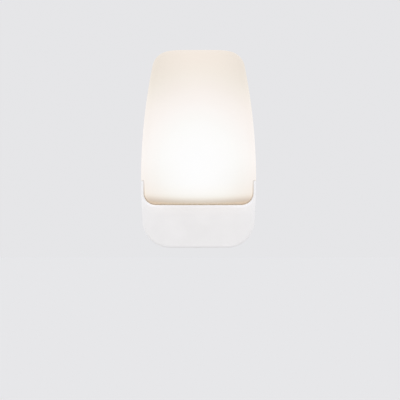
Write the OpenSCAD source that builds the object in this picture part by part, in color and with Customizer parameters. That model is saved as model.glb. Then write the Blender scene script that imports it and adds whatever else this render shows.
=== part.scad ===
// Plug-in night light: an opal shade standing out of a low white base, with two blades behind.
// +X is to the right of a person facing the light, +Y points into the wall and +Z is up.
// The origin is on the back face, midway between the blades. A depth is measured from the
// back face towards the room, so a depth of 10 lies at y = -10.

/* [Body] */
// Width of the body at its widest line
body_w = 72.4; // [60:0.1:90]
// Height of the body from its bottom edge to its top edge
body_h = 123.1; // [102:0.1:150]
// Height of the blades' centre line above the bottom edge
plug_h = 18.2; // [17:0.1:24]
// Height of the widest line above the bottom edge
widest_h = 41.6; // [34:0.1:55]
// Radius of the long curve along each side
flank_r = 378; // [300:1:700]
// Radius of the top corners, seen from the front
top_corner_r = 10.8; // [9:0.1:16]
// Radius of the bottom corners, seen from the front
bottom_corner_r = 17.7; // [12:0.1:21]

/* [Base cover] */
// Depth of the base's front face
base_depth = 28; // [27:0.1:36]
// Distance that the base's sides draw in between the rim and the front
base_draft = 0.9; // [0.2:0.1:1.4]
// Radius of the edge round the base's front face
base_edge_r = 1.5; // [1:0.1:3]
// Wall of the base's sides at the rim
base_wall = 2.2; // [1.8:0.1:2.6]
// Wall of the base's front
base_front_wall = 1.8; // [1.4:0.1:2.4]
// Height of the window's sill above the bottom edge
sill_h = 27.4; // [26:0.1:33]
// Height of the ears' top edges above the bottom edge
ear_h = 41.9; // [38:0.1:48]
// Width of each ear beside the window, seen from the front
ear_w = 1.8; // [1.6:0.1:2.6]
// Radius of the window's lower corners
window_corner_r = 7.2; // [6:0.1:12]

/* [Shade] */
// Greatest depth of the shade
shade_depth = 36; // [34:0.1:44]
// Depth of the shade at its top edge
shade_top_depth = 27; // [22:0.1:32]
// Height of the shade's deepest line above the bottom edge
belly_h = 48; // [44:0.1:60]
// Wall of the shade
shade_wall = 1.8; // [1.4:0.1:2.4]
// Radius of the shade's top front edge
shade_top_r = 4.5; // [3:0.1:6]
// Height of the rounded heel above the sill
heel_h = 8.5; // [7:0.1:10]
// Squareness of the shade's cross-section, where 2 is an ellipse
squareness = 5; // [3:0.1:7]

/* [Rear housing] */
// Thickness of the back wall
back_wall = 2; // [1.6:0.1:2.6]
// Depth of the rim that the base and the shade meet
rim_depth = 7; // [6:0.1:8]
// Wall of the rim
rim_wall = 1.9; // [1.5:0.1:2.1]
// Thickness of the lip inside the rim
lip_wall = 1.2; // [1:0.1:1.5]
// Rise of the lip above the rim
lip_rise = 3; // [2:0.1:4]
// Diameter of the housing screws' heads
housing_head_d = 5; // [4:0.1:5.4]
// Height of the housing screws above the bottom edge
housing_screw_h = 18.2; // [17:0.1:22]

/* [Plug] */
// Distance between the blades' centre planes
blade_pitch = 12.7; // [12.6:0.1:12.8]
// Thickness of each blade
blade_t = 1.5; // [1.4:0.1:1.6]
// Length of each blade beyond the back face
blade_len = 17; // [16:0.1:18]
// Width of the hot blade
hot_w = 6.3; // [6.1:0.1:6.5]
// Width of the neutral blade
neutral_w = 7.9; // [7.7:0.1:8.1]
// Diameter of the hole in each blade
blade_hole_d = 3.2; // [3:0.1:4]
// Distance of that hole from the back face
blade_hole_y = 11.9; // [11:0.1:12.5]

/* [Electronics] */
// Thickness of the circuit boards
board_t = 1.6; // [1:0.1:2]
// Height that the driver's tallest parts need
part_h = 10; // [9:0.1:11]
// Thickness of the insulating sheet
sheet_t = 0.4; // [0.3:0.1:0.6]
// Width of the lamp board
lamp_board_w = 26; // [24:0.1:30]
// Height of the lamp board
lamp_board_h = 38; // [34:0.1:42]
// Height of the lamp board's centre above the window's sill
lamp_rise = 24.1; // [23:0.1:30]
// Diameter of the sensor's light cell
cell_d = 5.1; // [4:0.1:6]
// Diameter of the insulated leads
lead_d = 1.2; // [1:0.1:1.5]

/* [Hidden] */
$fn = 48;

fit = 0.15;      // gap round a piece that drops into another
seat = 0.05;     // gap round a piece that is held without play
eps = 0.01;      // overlap that lets a cut leave no skin
z_bottom = -plug_h;
z_top = z_bottom + body_h;
z_widest = z_bottom + widest_h;
z_sill = z_bottom + sill_h;
z_ear = z_bottom + ear_h;
z_belly = z_bottom + belly_h;
z_lamp = z_sill + lamp_rise;

// ---- Outline of the body, seen from the front ----

function arc(centre, r, from, to, steps, first = 0) =
  [for (i = [first:steps]) let (a = from + (to - from) * i / steps) centre + r * [cos(a), sin(a)]];
function mirrored(points) = [for (i = [len(points) - 1:-1:0]) [-points[i].x, points[i].y]];

flank_c = [body_w / 2 - flank_r, z_widest];
function corner_c(z, r) = [flank_c.x + sqrt(pow(flank_r - r, 2) - pow(z - z_widest, 2)), z];
top_c = corner_c(z_top - top_corner_r, top_corner_r);
bottom_c = corner_c(z_bottom + bottom_corner_r, bottom_corner_r);
function angle_from_flank(c) = atan2(c.y - flank_c.y, c.x - flank_c.x);
top_angle = angle_from_flank(top_c);
bottom_angle = angle_from_flank(bottom_c);

function right_side(inset) = concat(
  arc(bottom_c, bottom_corner_r - inset, -90, bottom_angle, 10),
  arc(flank_c, flank_r - inset, bottom_angle, top_angle, 8, 1),
  arc(top_c, top_corner_r - inset, top_angle, 90, 8, 1)
);
function outline(inset) = concat(right_side(inset), mirrored(right_side(inset)));

// How far the outline reaches from the middle at a height
function on_circle(c, r, z) = c.x + sqrt(max(0, pow(r, 2) - pow(z - c.y, 2)));
function reach(z, inset) =
  z > top_c.y + (top_corner_r - inset) * sin(top_angle) ? on_circle(top_c, top_corner_r - inset, z)
  : z < bottom_c.y + (bottom_corner_r - inset) * sin(bottom_angle)
    ? on_circle(bottom_c, bottom_corner_r - inset, z)
  : on_circle(flank_c, flank_r - inset, z);

// A flat shape drawn in the front view, standing between two depths
module between(near_wall, near_room) {
  translate([0, -near_wall, 0])
    rotate([90, 0, 0])
      linear_extrude(near_room - near_wall)
        children();
}

// A round bar or hole along the depth, at a place in the front view
module round_at(place, r, near_wall, near_room) {
  translate([place.x, -near_wall, place.y])
    rotate([90, 0, 0])
      cylinder(r = r, h = near_room - near_wall);
}

module block(x, z, near_wall, near_room) {
  translate([x[0], -near_room, z[0]])
    cube([x[1] - x[0], near_room - near_wall, z[1] - z[0]]);
}

// ---- Closed skins drawn through rings of points ----

function ring_index(i, j, m) = i * m + j % m;
function skin_quads(k, m, last, base = 0, flip = false) = [
  for (i = [0:k - 2], j = [0:last])
    let (a = base + ring_index(i, j, m), b = base + ring_index(i, j + 1, m))
    let (c = base + ring_index(i + 1, j + 1, m), d = base + ring_index(i + 1, j, m))
    each flip ? [[a, c, b], [a, d, c]] : [[a, b, c], [a, c, d]]
];
function up_to(n, base = 0) = [for (j = [0:n - 1]) base + j];
function down_from(n, base = 0) = [for (j = [n - 1:-1:0]) base + j];

module loft(rings) {
  k = len(rings);
  m = len(rings[0]);
  polyhedron(
    points = [for (ring = rings) each ring],
    faces = concat(skin_quads(k, m, m - 1), [down_from(m)], [up_to(m, (k - 1) * m)])
  );
}

// ---- Window in the base, and the narrower foot of the shade that stands in it ----

window_half = body_w / 2 - base_draft - ear_w;
window_corner_c = [window_half - window_corner_r, z_sill + window_corner_r];

function window_points(gap) =
  let (beyond = body_w, top = z_top + body_w, side = window_half - gap, shoulder = z_ear + gap)
  concat(
    [[-beyond, top], [-beyond, shoulder], [-side, shoulder]],
    [for (p = mirrored(arc(window_corner_c, window_corner_r - gap, -90, 0, 8))) p],
    arc(window_corner_c, window_corner_r - gap, -90, 0, 8),
    [[side, shoulder], [beyond, shoulder], [beyond, top]]
  );

// Half of the window's width at a height
function window_reach(z, gap) =
  z < window_corner_c.y ? on_circle(window_corner_c, window_corner_r - gap, z) : window_half - gap;

// ---- Shade ----

belly_sag = shade_depth - shade_top_depth;
belly_r = (pow(z_top - z_belly, 2) + pow(belly_sag, 2)) / (2 * belly_sag);
z_heel = z_sill + heel_h;
ledge = 0.4;

// Drop of a quarter ellipse, from 0 at its crown to its whole depth at its foot
function rounding(along, length, depth) = depth * (1 - sqrt(max(0, 1 - pow(min(along / length, 1), 2))));
function shade_front(z, inset) =
  let (crown = shade_depth - inset - belly_r + sqrt(pow(belly_r, 2) - pow(z - z_belly, 2)))
  let (top_r = shade_top_r - inset, above = z - (z_top - shade_top_r), below = z_heel - z)
  crown
  - (above > 0 ? rounding(above, top_r, top_r) : 0)
  - (below > 0 ? rounding(below, heel_h - inset, shade_depth - base_depth) : 0);

shade_ring_points = 33;
function shade_ring(z, limit, inset) =
  let (w = reach(z, inset), d = shade_front(z, inset))
  let (rim_x = min(limit, w * pow(1 - pow(rim_depth / d, squareness), 1 / squareness)))
  let (start = atan2(rim_depth, rim_x), steps = shade_ring_points - 1)
  [
    for (j = [0:steps])
      let (a = start + (180 - 2 * start) * j / steps)
      let (across = max(abs(cos(a)), 0.0001), out = sin(a))
      let (free = pow(pow(across / w, squareness) + pow(out / d, squareness), -1 / squareness))
      let (r = min(free, limit / across))
      [r * cos(a), -r * out, z]
  ];

// Rings of one face of the shade's wall: foot, shoulder over the ears, flank and top
function shade_rings(inset) =
  let (gap = fit + inset, corner_r = window_corner_r - gap, shoulder = z_ear + gap)
  let (flank_top = top_c.y + (top_corner_r - inset) * sin(top_angle))
  let (flank_start = shoulder + ledge, top_r = top_corner_r - inset)
  concat(
    [for (a = [0:15:90])
      let (z = window_corner_c.y - corner_r * cos(a)) shade_ring(z, window_reach(z, gap), inset)],
    [shade_ring(shoulder, window_half - gap, inset)],
    [for (i = [0:11]) shade_ring(flank_start + (flank_top - flank_start) * i / 12, body_w, inset)],
    [for (i = [0:8])
      let (a = top_angle + (90 - top_angle) * i / 8) shade_ring(top_c.y + top_r * sin(a), body_w, inset)]
  );

hook_x = 10;
hook_w = 5;
hook_t = 1.3;
hook_depth = 3.4;
barb_rise = 1.2;
barb_t = 1.2;
hook_z = z_top - rim_wall - 0.2;
flange_t = 1.7;
flange_drop = 2.6;
flange_half = window_corner_c.x - 5;
cover_inside = base_depth - base_front_wall;

// Fans that close the two ends of a wall on a point in the plane of its rim
function end_fans(m, first, last, foot, head, flip) = [
  for (j = [0:m - 2])
    each flip ? [[first + j, first + j + 1, foot], [last + j + 1, last + j, head]]
      : [[first + j + 1, first + j, foot], [last + j, last + j + 1, head]]
];
function quad(a, b, c, d) = [[a, b, c], [a, c, d]];

module shade_shell() {
  outer = shade_rings(0);
  inner = shade_rings(shade_wall);
  k = len(outer);
  m = shade_ring_points;
  n = k * m;
  far = m - 1;
  last = n - m;
  middles = [for (ring = [outer[0], outer[k - 1], inner[0], inner[k - 1]]) [0, -rim_depth, ring[0].z]];
  foot = 2 * n;
  head = foot + 1;
  foot_in = foot + 2;
  head_in = foot + 3;
  polyhedron(
    points = concat([for (ring = concat(outer, inner)) each ring], middles),
    faces = concat(
      skin_quads(k, m, m - 2),
      skin_quads(k, m, m - 2, n, true),
      end_fans(m, 0, last, foot, head, false),
      end_fans(m, n, n + last, foot_in, head_in, true),
      [for (i = [0:m:last - m]) each concat(
        quad(i, i + m, n + i + m, n + i),
        quad(n + i + far, n + i + m + far, i + m + far, i + far)
      )],
      quad(foot, 0, n, foot_in),
      quad(far, foot, foot_in, n + far),
      quad(n + last, last, head, head_in),
      quad(head, last + far, n + last + far, head_in)
    )
  );
}

module shade_hook(x) {
  side = [x - hook_w / 2, x + hook_w / 2];
  block(side, [hook_z - hook_t, hook_z], hook_depth, rim_depth + 4);
  block(side, [hook_z - hook_t, z_top - shade_wall / 2], rim_depth, rim_depth + 4);
  block(side, [hook_z - hook_t, hook_z + barb_rise], hook_depth, hook_depth + barb_t);
}

module shade() {
  color("antiquewhite") {
    union() {
      shade_shell();
      for (x = [-hook_x, hook_x]) shade_hook(x);
      block(
        [-flange_half, flange_half], [z_sill - flange_drop, z_sill + shade_wall / 2],
        cover_inside - fit - flange_t, cover_inside - fit
      );
    }
  }
}

// ---- Depths of what stands inside the base ----

board_front = cover_inside - 0.8 - part_h;
board_back = board_front - board_t;
sheet_back = board_back - sheet_t;
boss_depth = back_wall + 2.2;
retainer_t = 2.4;
retainer_front = boss_depth + retainer_t;
tail_depth = sheet_back - 2.5;

// ---- Housing screws, their posts in the housing and their bosses in the cover ----

housing_shank_d = 2.5;
housing_shank_len = 9;
housing_pilot = 9;
post_floor = 2;
post_r = housing_head_d / 2 + 1.3;
boss_r = housing_shank_d / 2 + 1.9;
z_housing_screw = z_bottom + housing_screw_h;
housing_screw_x = reach(z_housing_screw, base_wall + fit) - post_r;
post_depth = 12;
head_t = 1.8;

function both_sides(x, z) = [[-x, z], [x, z]];
housing_screw_places = both_sides(housing_screw_x, z_housing_screw);

// A pan-head screw whose head's underside is at a depth; +1 drives towards the room, -1 to the wall
module screw(place, under_head, head_r, head_h, shank_r, shank_len, to_room) {
  translate([place.x, -under_head, place.y])
    rotate([to_room > 0 ? 90 : -90, 0, 0])
      difference() {
        union() {
          cylinder(r = shank_r, h = shank_len);
          translate([0, 0, -head_h]) cylinder(r = head_r, h = head_h);
        }
        for (turn = [0, 90])
          rotate([0, 0, turn])
            translate([-head_r * 0.55, -head_r * 0.13, -head_h - eps])
              cube([head_r * 1.1, head_r * 0.26, head_h * 0.5]);
      }
}

module housing_screws() {
  color("silver")
    for (place = housing_screw_places)
      screw(place, post_depth - post_floor, housing_head_d / 2, head_t, housing_shank_d / 2,
        housing_shank_len, 1);
}

// ---- Base cover ----

module cover_skin() {
  edge_steps = 5;
  edge_start = base_depth - base_edge_r;
  edge = [
    for (i = [edge_steps:-1:0])
      let (a = 90 * i / edge_steps)
      [edge_start + base_edge_r * sin(a), base_draft + base_edge_r * (1 - cos(a))]
  ];
  stations = concat(edge, [[rim_depth, 0]]);
  loft([for (s = stations) [for (p = outline(s[1])) [p.x, -s[0], p.y]]]);
}

lens_r = 2.9;
lens_flange_r = 4.1;
sensor_depth = board_front + lens_flange_r + 0.1;

module front_cover() {
  color("whitesmoke")
    difference() {
      union() {
        difference() {
          cover_skin();
          between(rim_depth - 1, cover_inside) polygon(outline(base_wall));
        }
        for (place = housing_screw_places) round_at(place, boss_r, post_depth, cover_inside + eps);
      }
      between(rim_depth - 1, base_depth + 1) polygon(window_points(0));
      for (place = housing_screw_places)
        round_at(place, housing_shank_d / 2 + seat, post_depth - 1, post_depth + housing_pilot);
      translate([0, -sensor_depth, z_bottom - 1]) cylinder(r = lens_r + seat, h = base_wall + 3);
    }
}

// ---- Driver board, its sheet and its posts ----

board_side_gap = 0.8;
board_foot_gap = 1.9;
board_head_gap = 2.2;
board_half = housing_screw_x - post_r - board_side_gap;
board_z = [z_bottom + base_wall + board_foot_gap, z_sill - board_head_gap];
board_corner = 4.5;
board_post_r = 2.4;
board_post_x = board_half - 3.4;
board_post_z = [board_z[0] + 4.6, board_z[1] - 4];
notch_half = 11;
notch_drop = 5;
board_screw_places = [[-board_post_x, board_post_z[0]], [board_post_x, board_post_z[1]]];
board_pin_places = [[board_post_x, board_post_z[0]], [-board_post_x, board_post_z[1]]];
small_shank_r = 0.95;
small_head_r = 1.9;
small_head_t = 1.4;
small_pilot = 6;
board_shank_len = 7;
pin_r = 0.9;
pin_rise = 0.7;

module board_shape() {
  polygon([
    [-board_half, board_z[1]], [-board_half, board_z[0] + board_corner],
    [-board_half + board_corner, board_z[0]], [board_half - board_corner, board_z[0]],
    [board_half, board_z[0] + board_corner], [board_half, board_z[1]]
  ]);
}

module board_holes(near_wall, near_room) {
  for (place = board_screw_places) round_at(place, small_shank_r + fit, near_wall, near_room);
  for (place = board_pin_places) round_at(place, pin_r + seat, near_wall, near_room);
}

module insulating_sheet() {
  color("linen")
    difference() {
      between(sheet_back, board_back) board_shape();
      board_holes(sheet_back - 1, board_back + 1);
      block(
        [-notch_half, notch_half], [board_z[1] - notch_drop, board_z[1] + 1],
        sheet_back - 1, board_back + 1
      );
    }
}

module driver_board() {
  color("seagreen")
    difference() {
      between(board_back, board_front) board_shape();
      board_holes(board_back - 1, board_front + 1);
    }
}

module board_screws() {
  color("silver")
    for (place = board_screw_places)
      screw(place, board_front, small_head_r, small_head_t, small_shank_r, board_shank_len, -1);
}

// ---- Parts on the driver board; each stands at a share of the board's half width ----

function on_board(share, z_from_top) = [share * board_half, board_z[1] - z_from_top];

film_place = on_board(-0.38, 4.4);
film_size = [13, 6];
module film_capacitor() {
  foot = 1;
  stand_off = 0.6;
  x = [film_place.x - film_size.x / 2, film_place.x + film_size.x / 2];
  z = [film_place.y - film_size.y / 2, film_place.y + film_size.y / 2];
  color("gold")
    difference() {
      block(x, z, board_front, board_front + part_h);
      block([x[0] + foot, x[1] - foot], [z[0] - 1, z[1] + 1], board_front - 1, board_front + stand_off);
    }
}

smoothing_place = on_board(0.24, 5.2);
module smoothing_capacitor() {
  r = 4;
  crimp = 1.2;
  crimp_in = 0.3;
  crimp_len = 1;
  edge = 0.4;
  color("midnightblue")
    translate([smoothing_place.x, -board_front, smoothing_place.y])
      rotate([90, 0, 0])
        rotate_extrude()
          polygon([
            [0, 0], [r, 0], [r, crimp], [r - crimp_in, crimp + crimp_in],
            [r - crimp_in, crimp + crimp_len - crimp_in], [r, crimp + crimp_len], [r, part_h - edge],
            [r - edge, part_h], [0, part_h]
          ]);
}

// A flat rectangular part on the board's front, centred on its place
module board_block(place, size, height) {
  block(
    [place.x - size.x / 2, place.x + size.x / 2], [place.y - size.y / 2, place.y + size.y / 2],
    board_front, board_front + height
  );
}

// A moulded chip with a row of flat legs along its top and its bottom edge
module chip(place, size, height, legs, pitch) {
  leg = [0.5, 1.4];
  leg_t = 0.4;
  board_block(place, size, height);
  for (i = [0:legs - 1], side = [-1, 1])
    board_block(place + [(i - (legs - 1) / 2) * pitch, side * (size.y + leg.y / 2) / 2], leg, leg_t);
}

module bridge_rectifier() {
  color("dimgray") chip(on_board(-0.04, 12.4), [4.7, 3.9], 2.5, 2, 2.5);
}

module driver_chip() {
  color("dimgray") chip(on_board(0.54, 16), [4.9, 3.9], 1.5, 4, 1.27);
}

varistor_place = on_board(-0.44, 13.5);
module varistor() {
  disc_r = 3.6;
  disc_t = 3.2;
  lift = 1;
  leg_x = 2.5;
  leg_r = 0.35;
  color("royalblue")
    union() {
      translate([varistor_place.x, -board_front - lift - disc_r, varistor_place.y - disc_t / 2])
        cylinder(r = disc_r, h = disc_t);
      for (x = [-leg_x, leg_x])
        round_at(varistor_place + [x, 0], leg_r, board_front, board_front + lift + disc_r);
    }
}

resistor_place = on_board(0.58, 6.6);
module fusible_resistor() {
  body_r = 1.5;
  body_len = 7;
  lead_reach = 4.4;
  lead_r = 0.3;
  lift = board_front + body_r + 0.4;
  color("tan")
    translate([resistor_place.x, -lift, resistor_place.y])
      union() {
        translate([0, 0, -body_len / 2]) cylinder(r = body_r, h = body_len);
        translate([0, 0, -lead_reach]) cylinder(r = lead_r, h = 2 * lead_reach);
        for (side = [-1, 1])
          translate([0, 0, side * (lead_reach - lead_r)])
            rotate([-90, 0, 0])
              cylinder(r = lead_r, h = lift - board_front);
      }
}

module chip_resistors() {
  color("black")
    for (drop = [10.5, 13.2, 15.9]) board_block(on_board(0.26, drop), [3.2, 1.6], 0.6);
}

// ---- Light sensor in the base's underside ----

// The base's draft lifts its underside towards the room, and the lens ends level with it
lens_rise = base_draft * (sensor_depth - rim_depth) / (base_depth - base_edge_r - rim_depth);
lens_flange_t = 1;
z_floor = z_bottom + base_wall;
cell_t = 2;
module sensor_lens() {
  color("lightcyan")
    translate([0, -sensor_depth, 0])
      union() {
        translate([0, 0, z_bottom + lens_rise])
          cylinder(r = lens_r, h = base_wall - lens_rise + seat + lens_flange_t);
        translate([0, 0, z_floor + seat]) cylinder(r = lens_flange_r, h = lens_flange_t);
      }
}

z_cell = z_floor + seat + lens_flange_t;
shroud_wall = 0.9;
shroud_rise = 0.8;
module sensor_shroud() {
  outer_r = cell_d / 2 + seat + shroud_wall;
  color("black")
    translate([0, -sensor_depth, z_cell])
      difference() {
        cylinder(r = outer_r, h = cell_t + shroud_rise);
        translate([0, 0, -1]) cylinder(r = cell_d / 2 + seat, h = cell_t + shroud_rise + 2);
      }
}

module light_cell() {
  leg_r = 0.25;
  leg_x = 1.3;
  rise = cell_t + shroud_rise + fit + 2 * leg_r;
  color("sandybrown")
    translate([0, -sensor_depth, z_cell])
      union() {
        cylinder(r = cell_d / 2, h = cell_t);
        for (x = [-leg_x, leg_x]) {
          translate([x, 0, 0]) cylinder(r = leg_r, h = rise);
          translate([x, 0, rise - leg_r])
            rotate([-90, 0, 0])
              cylinder(r = leg_r, h = sensor_depth - board_front);
        }
      }
}

// ---- Blades and their retainer ----

shoulder_rise = 1.2;
tail_half = 1.8;
tip_len = 1.6;
tip_in = 1.2;
eyelet_r = 0.6;
eyelet_in = 1.5;
retainer_screw_x = blade_pitch / 2 + 3.7;
retainer_half = retainer_screw_x + 2.5;
retainer_z = 7;
retainer_screw_places = both_sides(retainer_screw_x, 0);

module blade(x, w) {
  h = w / 2;
  half = [
    [-tail_depth, tail_half], [-boss_depth + seat, tail_half], [-boss_depth + seat, h + shoulder_rise],
    [-back_wall - seat, h + shoulder_rise], [-back_wall - seat, h], [blade_len - tip_len, h],
    [blade_len, h - tip_in]
  ];
  lower = [for (i = [len(half) - 1:-1:0]) [half[i].x, -half[i].y]];
  color("goldenrod")
    translate([x - blade_t / 2, 0, 0])
      difference() {
        rotate([90, 0, 90]) linear_extrude(blade_t) polygon(concat(half, lower));
        for (hole = [[blade_hole_y, blade_hole_d / 2], [eyelet_in - tail_depth, eyelet_r]])
          translate([-1, hole[0], 0]) rotate([0, 90, 0]) cylinder(r = hole[1], h = blade_t + 2);
      }
}

module blade_neutral() { blade(-blade_pitch / 2, neutral_w); }
module blade_hot() { blade(blade_pitch / 2, hot_w); }

module slot_for(x, half_w, gap, near_wall, near_room) {
  half_t = blade_t / 2 + gap;
  block([x - half_t, x + half_t], [-half_w - gap, half_w + gap], near_wall, near_room);
}

module blade_retainer() {
  color("ivory")
    difference() {
      block([-retainer_half, retainer_half], [-retainer_z, retainer_z], boss_depth, retainer_front);
      for (x = [-blade_pitch / 2, blade_pitch / 2])
        slot_for(x, tail_half, fit, boss_depth - 1, retainer_front + 1);
      for (place = retainer_screw_places)
        round_at(place, small_shank_r + fit, boss_depth - 1, retainer_front + 1);
    }
}

pilot_floor = 0.8;
retainer_shank_len = retainer_front - pilot_floor - 0.2;
module retainer_screws() {
  color("silver")
    for (place = retainer_screw_places)
      screw(place, retainer_front, small_head_r, small_head_t, small_shank_r, retainer_shank_len, -1);
}

// ---- Lamp board, its light chips and the reflector in front of it ----

lamp_board_back = 6.4;
lamp_board_front = lamp_board_back + board_t;
lamp_post_x = lamp_board_w / 2 - 3.5;
lamp_post_dz = lamp_board_h / 2 - 4;
lamp_post_r = 2.2;
lamp_screw_head_t = 1.2;
lamp_screw_places = [[-lamp_post_x, z_lamp - lamp_post_dz], [lamp_post_x, z_lamp + lamp_post_dz]];
lamp_pin_places = [[lamp_post_x, z_lamp - lamp_post_dz], [-lamp_post_x, z_lamp + lamp_post_dz]];
lamp_chip = [3.5, 2.8];
lamp_chip_t = 0.75;
reflector_back = 9.5;
reflector_t = 1;
reflector_rise = 4;
reflector_inset = 4.4;
reflector_gap = 0.6;
reflector_lap = 1.5;
reflector_shank_len = 6;
reflector_screw_places = concat(both_sides(lamp_board_w / 2 + 8, z_lamp), [[0, z_top - 16]]);

module lamp_board() {
  color("white")
    difference() {
      block(
        [-lamp_board_w / 2, lamp_board_w / 2], [z_lamp - lamp_board_h / 2, z_lamp + lamp_board_h / 2],
        lamp_board_back, lamp_board_front
      );
      for (place = lamp_screw_places)
        round_at(place, small_shank_r + fit, lamp_board_back - 1, lamp_board_front + 1);
      for (place = lamp_pin_places)
        round_at(place, pin_r + seat, lamp_board_back - 1, lamp_board_front + 1);
    }
}

lamp_shank_len = lamp_board_front - back_wall - 0.2;
module lamp_board_screws() {
  color("silver")
    for (place = lamp_screw_places)
      screw(place, lamp_board_front, small_head_r, lamp_screw_head_t, small_shank_r, lamp_shank_len, -1);
}

module lamp_chips() {
  color("yellow")
    for (x = [-5, 5], z = [z_lamp - 9, z_lamp, z_lamp + 9])
      block(
        [x - lamp_chip.x / 2, x + lamp_chip.x / 2], [z - lamp_chip.y / 2, z + lamp_chip.y / 2],
        lamp_board_front, lamp_board_front + lamp_chip_t
      );
}

module reflector_shape(inset) {
  intersection() {
    polygon(outline(reflector_inset + inset));
    polygon(window_points(fit + shade_wall + reflector_gap + inset));
  }
}

module reflector() {
  front = reflector_back + reflector_rise;
  half = [lamp_board_w, lamp_board_h] / 2 - [reflector_lap, reflector_lap];
  color("white")
    difference() {
      between(reflector_back, front) reflector_shape(0);
      between(reflector_back + reflector_t, front + 1) reflector_shape(reflector_t);
      block([-half.x, half.x], [z_lamp - half.y, z_lamp + half.y], reflector_back - 1, front);
      for (place = reflector_screw_places) round_at(place, small_shank_r + fit, reflector_back - 1, front);
    }
}

module reflector_screws() {
  seat_depth = reflector_back + reflector_t;
  color("silver")
    for (place = reflector_screw_places)
      screw(place, seat_depth, small_head_r, small_head_t, small_shank_r, reflector_shank_len, -1);
}

// ---- Rear housing ----

label_half = [17, 11];
label_r = 3;
label_z = z_lamp + 28;
label_sink = 0.3;
hook_room = 0.4;

module post(place, r, pilot_r, depth, pilot_len) {
  difference() {
    round_at(place, r, back_wall - eps, depth);
    if (pilot_r > 0) round_at(place, pilot_r, depth - pilot_len, depth + 1);
  }
}

module housing_shell() {
  difference() {
    between(0, rim_depth) polygon(outline(0));
    between(back_wall, rim_depth + 1) polygon(outline(rim_wall));
  }
  difference() {
    between(back_wall - eps, rim_depth + lip_rise) polygon(outline(base_wall + fit));
    between(back_wall - 1, rim_depth + lip_rise + 1) polygon(outline(base_wall + fit + lip_wall));
    // The shade's narrow foot stands where the lip would be
    block(
      [-body_w, body_w], [z_sill - fit, z_ear + shade_wall + ledge + 2 * fit],
      rim_depth, rim_depth + lip_rise + 1
    );
  }
}

module housing_posts() {
  for (place = housing_screw_places) round_at(place, post_r, back_wall - eps, post_depth);
  for (place = board_screw_places) post(place, board_post_r, small_shank_r + seat, sheet_back, small_pilot);
  for (place = board_pin_places) {
    post(place, board_post_r, 0, sheet_back, 0);
    round_at(place, pin_r, sheet_back - eps, board_front + pin_rise);
  }
  for (place = lamp_screw_places)
    post(place, lamp_post_r, small_shank_r + seat, lamp_board_back, lamp_board_back - back_wall);
  for (place = lamp_pin_places) {
    post(place, lamp_post_r, 0, lamp_board_back, 0);
    round_at(place, pin_r, lamp_board_back - eps, lamp_board_front + pin_rise);
  }
  for (place = reflector_screw_places)
    post(place, board_post_r, small_shank_r + seat, reflector_back, small_pilot);
}

module plug_boss() {
  difference() {
    block([-retainer_half, retainer_half], [-retainer_z, retainer_z], back_wall - eps, boss_depth);
    slot_for(-blade_pitch / 2, neutral_w / 2 + shoulder_rise, fit, back_wall, boss_depth + 1);
    slot_for(blade_pitch / 2, hot_w / 2 + shoulder_rise, fit, back_wall, boss_depth + 1);
  }
}

module label_recess() {
  between(-1, label_sink)
    polygon([
      for (corner = [[1, -1, -90], [1, 1, 0], [-1, 1, 90], [-1, -1, 180]])
        each arc(
          [corner[0] * (label_half.x - label_r), label_z + corner[1] * (label_half.y - label_r)],
          label_r, corner[2], corner[2] + 90, 6
        )
    ]);
}

module rear_housing() {
  color("white")
    difference() {
      union() {
        housing_shell();
        housing_posts();
        plug_boss();
      }
      for (place = housing_screw_places) {
        round_at(place, housing_head_d / 2 + fit, -1, post_depth - post_floor);
        round_at(place, housing_shank_d / 2 + fit, -1, post_depth + 1);
      }
      slot_for(-blade_pitch / 2, neutral_w / 2, seat, -1, back_wall + 1);
      slot_for(blade_pitch / 2, hot_w / 2, seat, -1, back_wall + 1);
      for (place = retainer_screw_places)
        round_at(place, small_shank_r + seat, pilot_floor, boss_depth + 1);
      for (x = [-hook_x, hook_x]) {
        block(
          [x - hook_w / 2 - hook_room, x + hook_w / 2 + hook_room], [z_top - 6, hook_z + fit],
          back_wall, rim_depth + lip_rise + 1
        );
        block(
          [x - hook_w / 2 - fit, x + hook_w / 2 + fit], [hook_z - 1, hook_z + barb_rise + fit],
          hook_depth - fit, hook_depth + barb_t + fit
        );
      }
      label_recess();
    }
}

// ---- Leads inside the body ----

// A smooth line through the points of a route
function spline(p, i, t) =
  let (a = p[max(i - 1, 0)], b = p[i], c = p[i + 1], d = p[min(i + 2, len(p) - 1)])
  0.5 * (2 * b + (c - a) * t + (2 * a - 5 * b + 4 * c - d) * t * t + (3 * b - a - 3 * c + d) * t * t * t);
function smooth(p, steps) =
  concat([for (i = [0:len(p) - 2], s = [0:steps - 1]) spline(p, i, s / steps)], [p[len(p) - 1]]);
function unit(v) = v / norm(v);

// A round lead along a route that never runs along X, with straight ends
module lead(route, d) {
  bends = [for (i = [1:len(route) - 2]) route[i]];
  line = concat([route[0]], smooth(bends, 4), [route[len(route) - 1]]);
  n = len(line) - 1;
  sides = 8;
  loft([
    for (i = [0:n])
      let (along = unit(line[min(i + 1, n)] - line[max(i - 1, 0)]))
      let (u = unit(cross([1, 0, 0], along)), v = cross(along, u))
      [for (s = [0:sides - 1]) line[i] + d / 2 * (u * cos(360 * s / sides) + v * sin(360 * s / sides))]
  ]);
}

lead_z = board_z[1] - 2;
blade_lead_x = blade_pitch / 2 + blade_t / 2 + lead_d / 2 + 0.02;
module blade_lead(x) {
  start = 2.2 - tail_depth;
  lead([
    [x, start, -0.8], [x, start, 1.4], [x, start - 0.5, lead_z - 1.6],
    [x, 1.8 - board_back, lead_z - 0.4], [x, 0.8 - board_back, lead_z], [x, -board_back, lead_z]
  ], lead_d);
}
module neutral_lead() { color("white") blade_lead(-blade_lead_x); }
module hot_lead() { color("black") blade_lead(blade_lead_x); }

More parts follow.
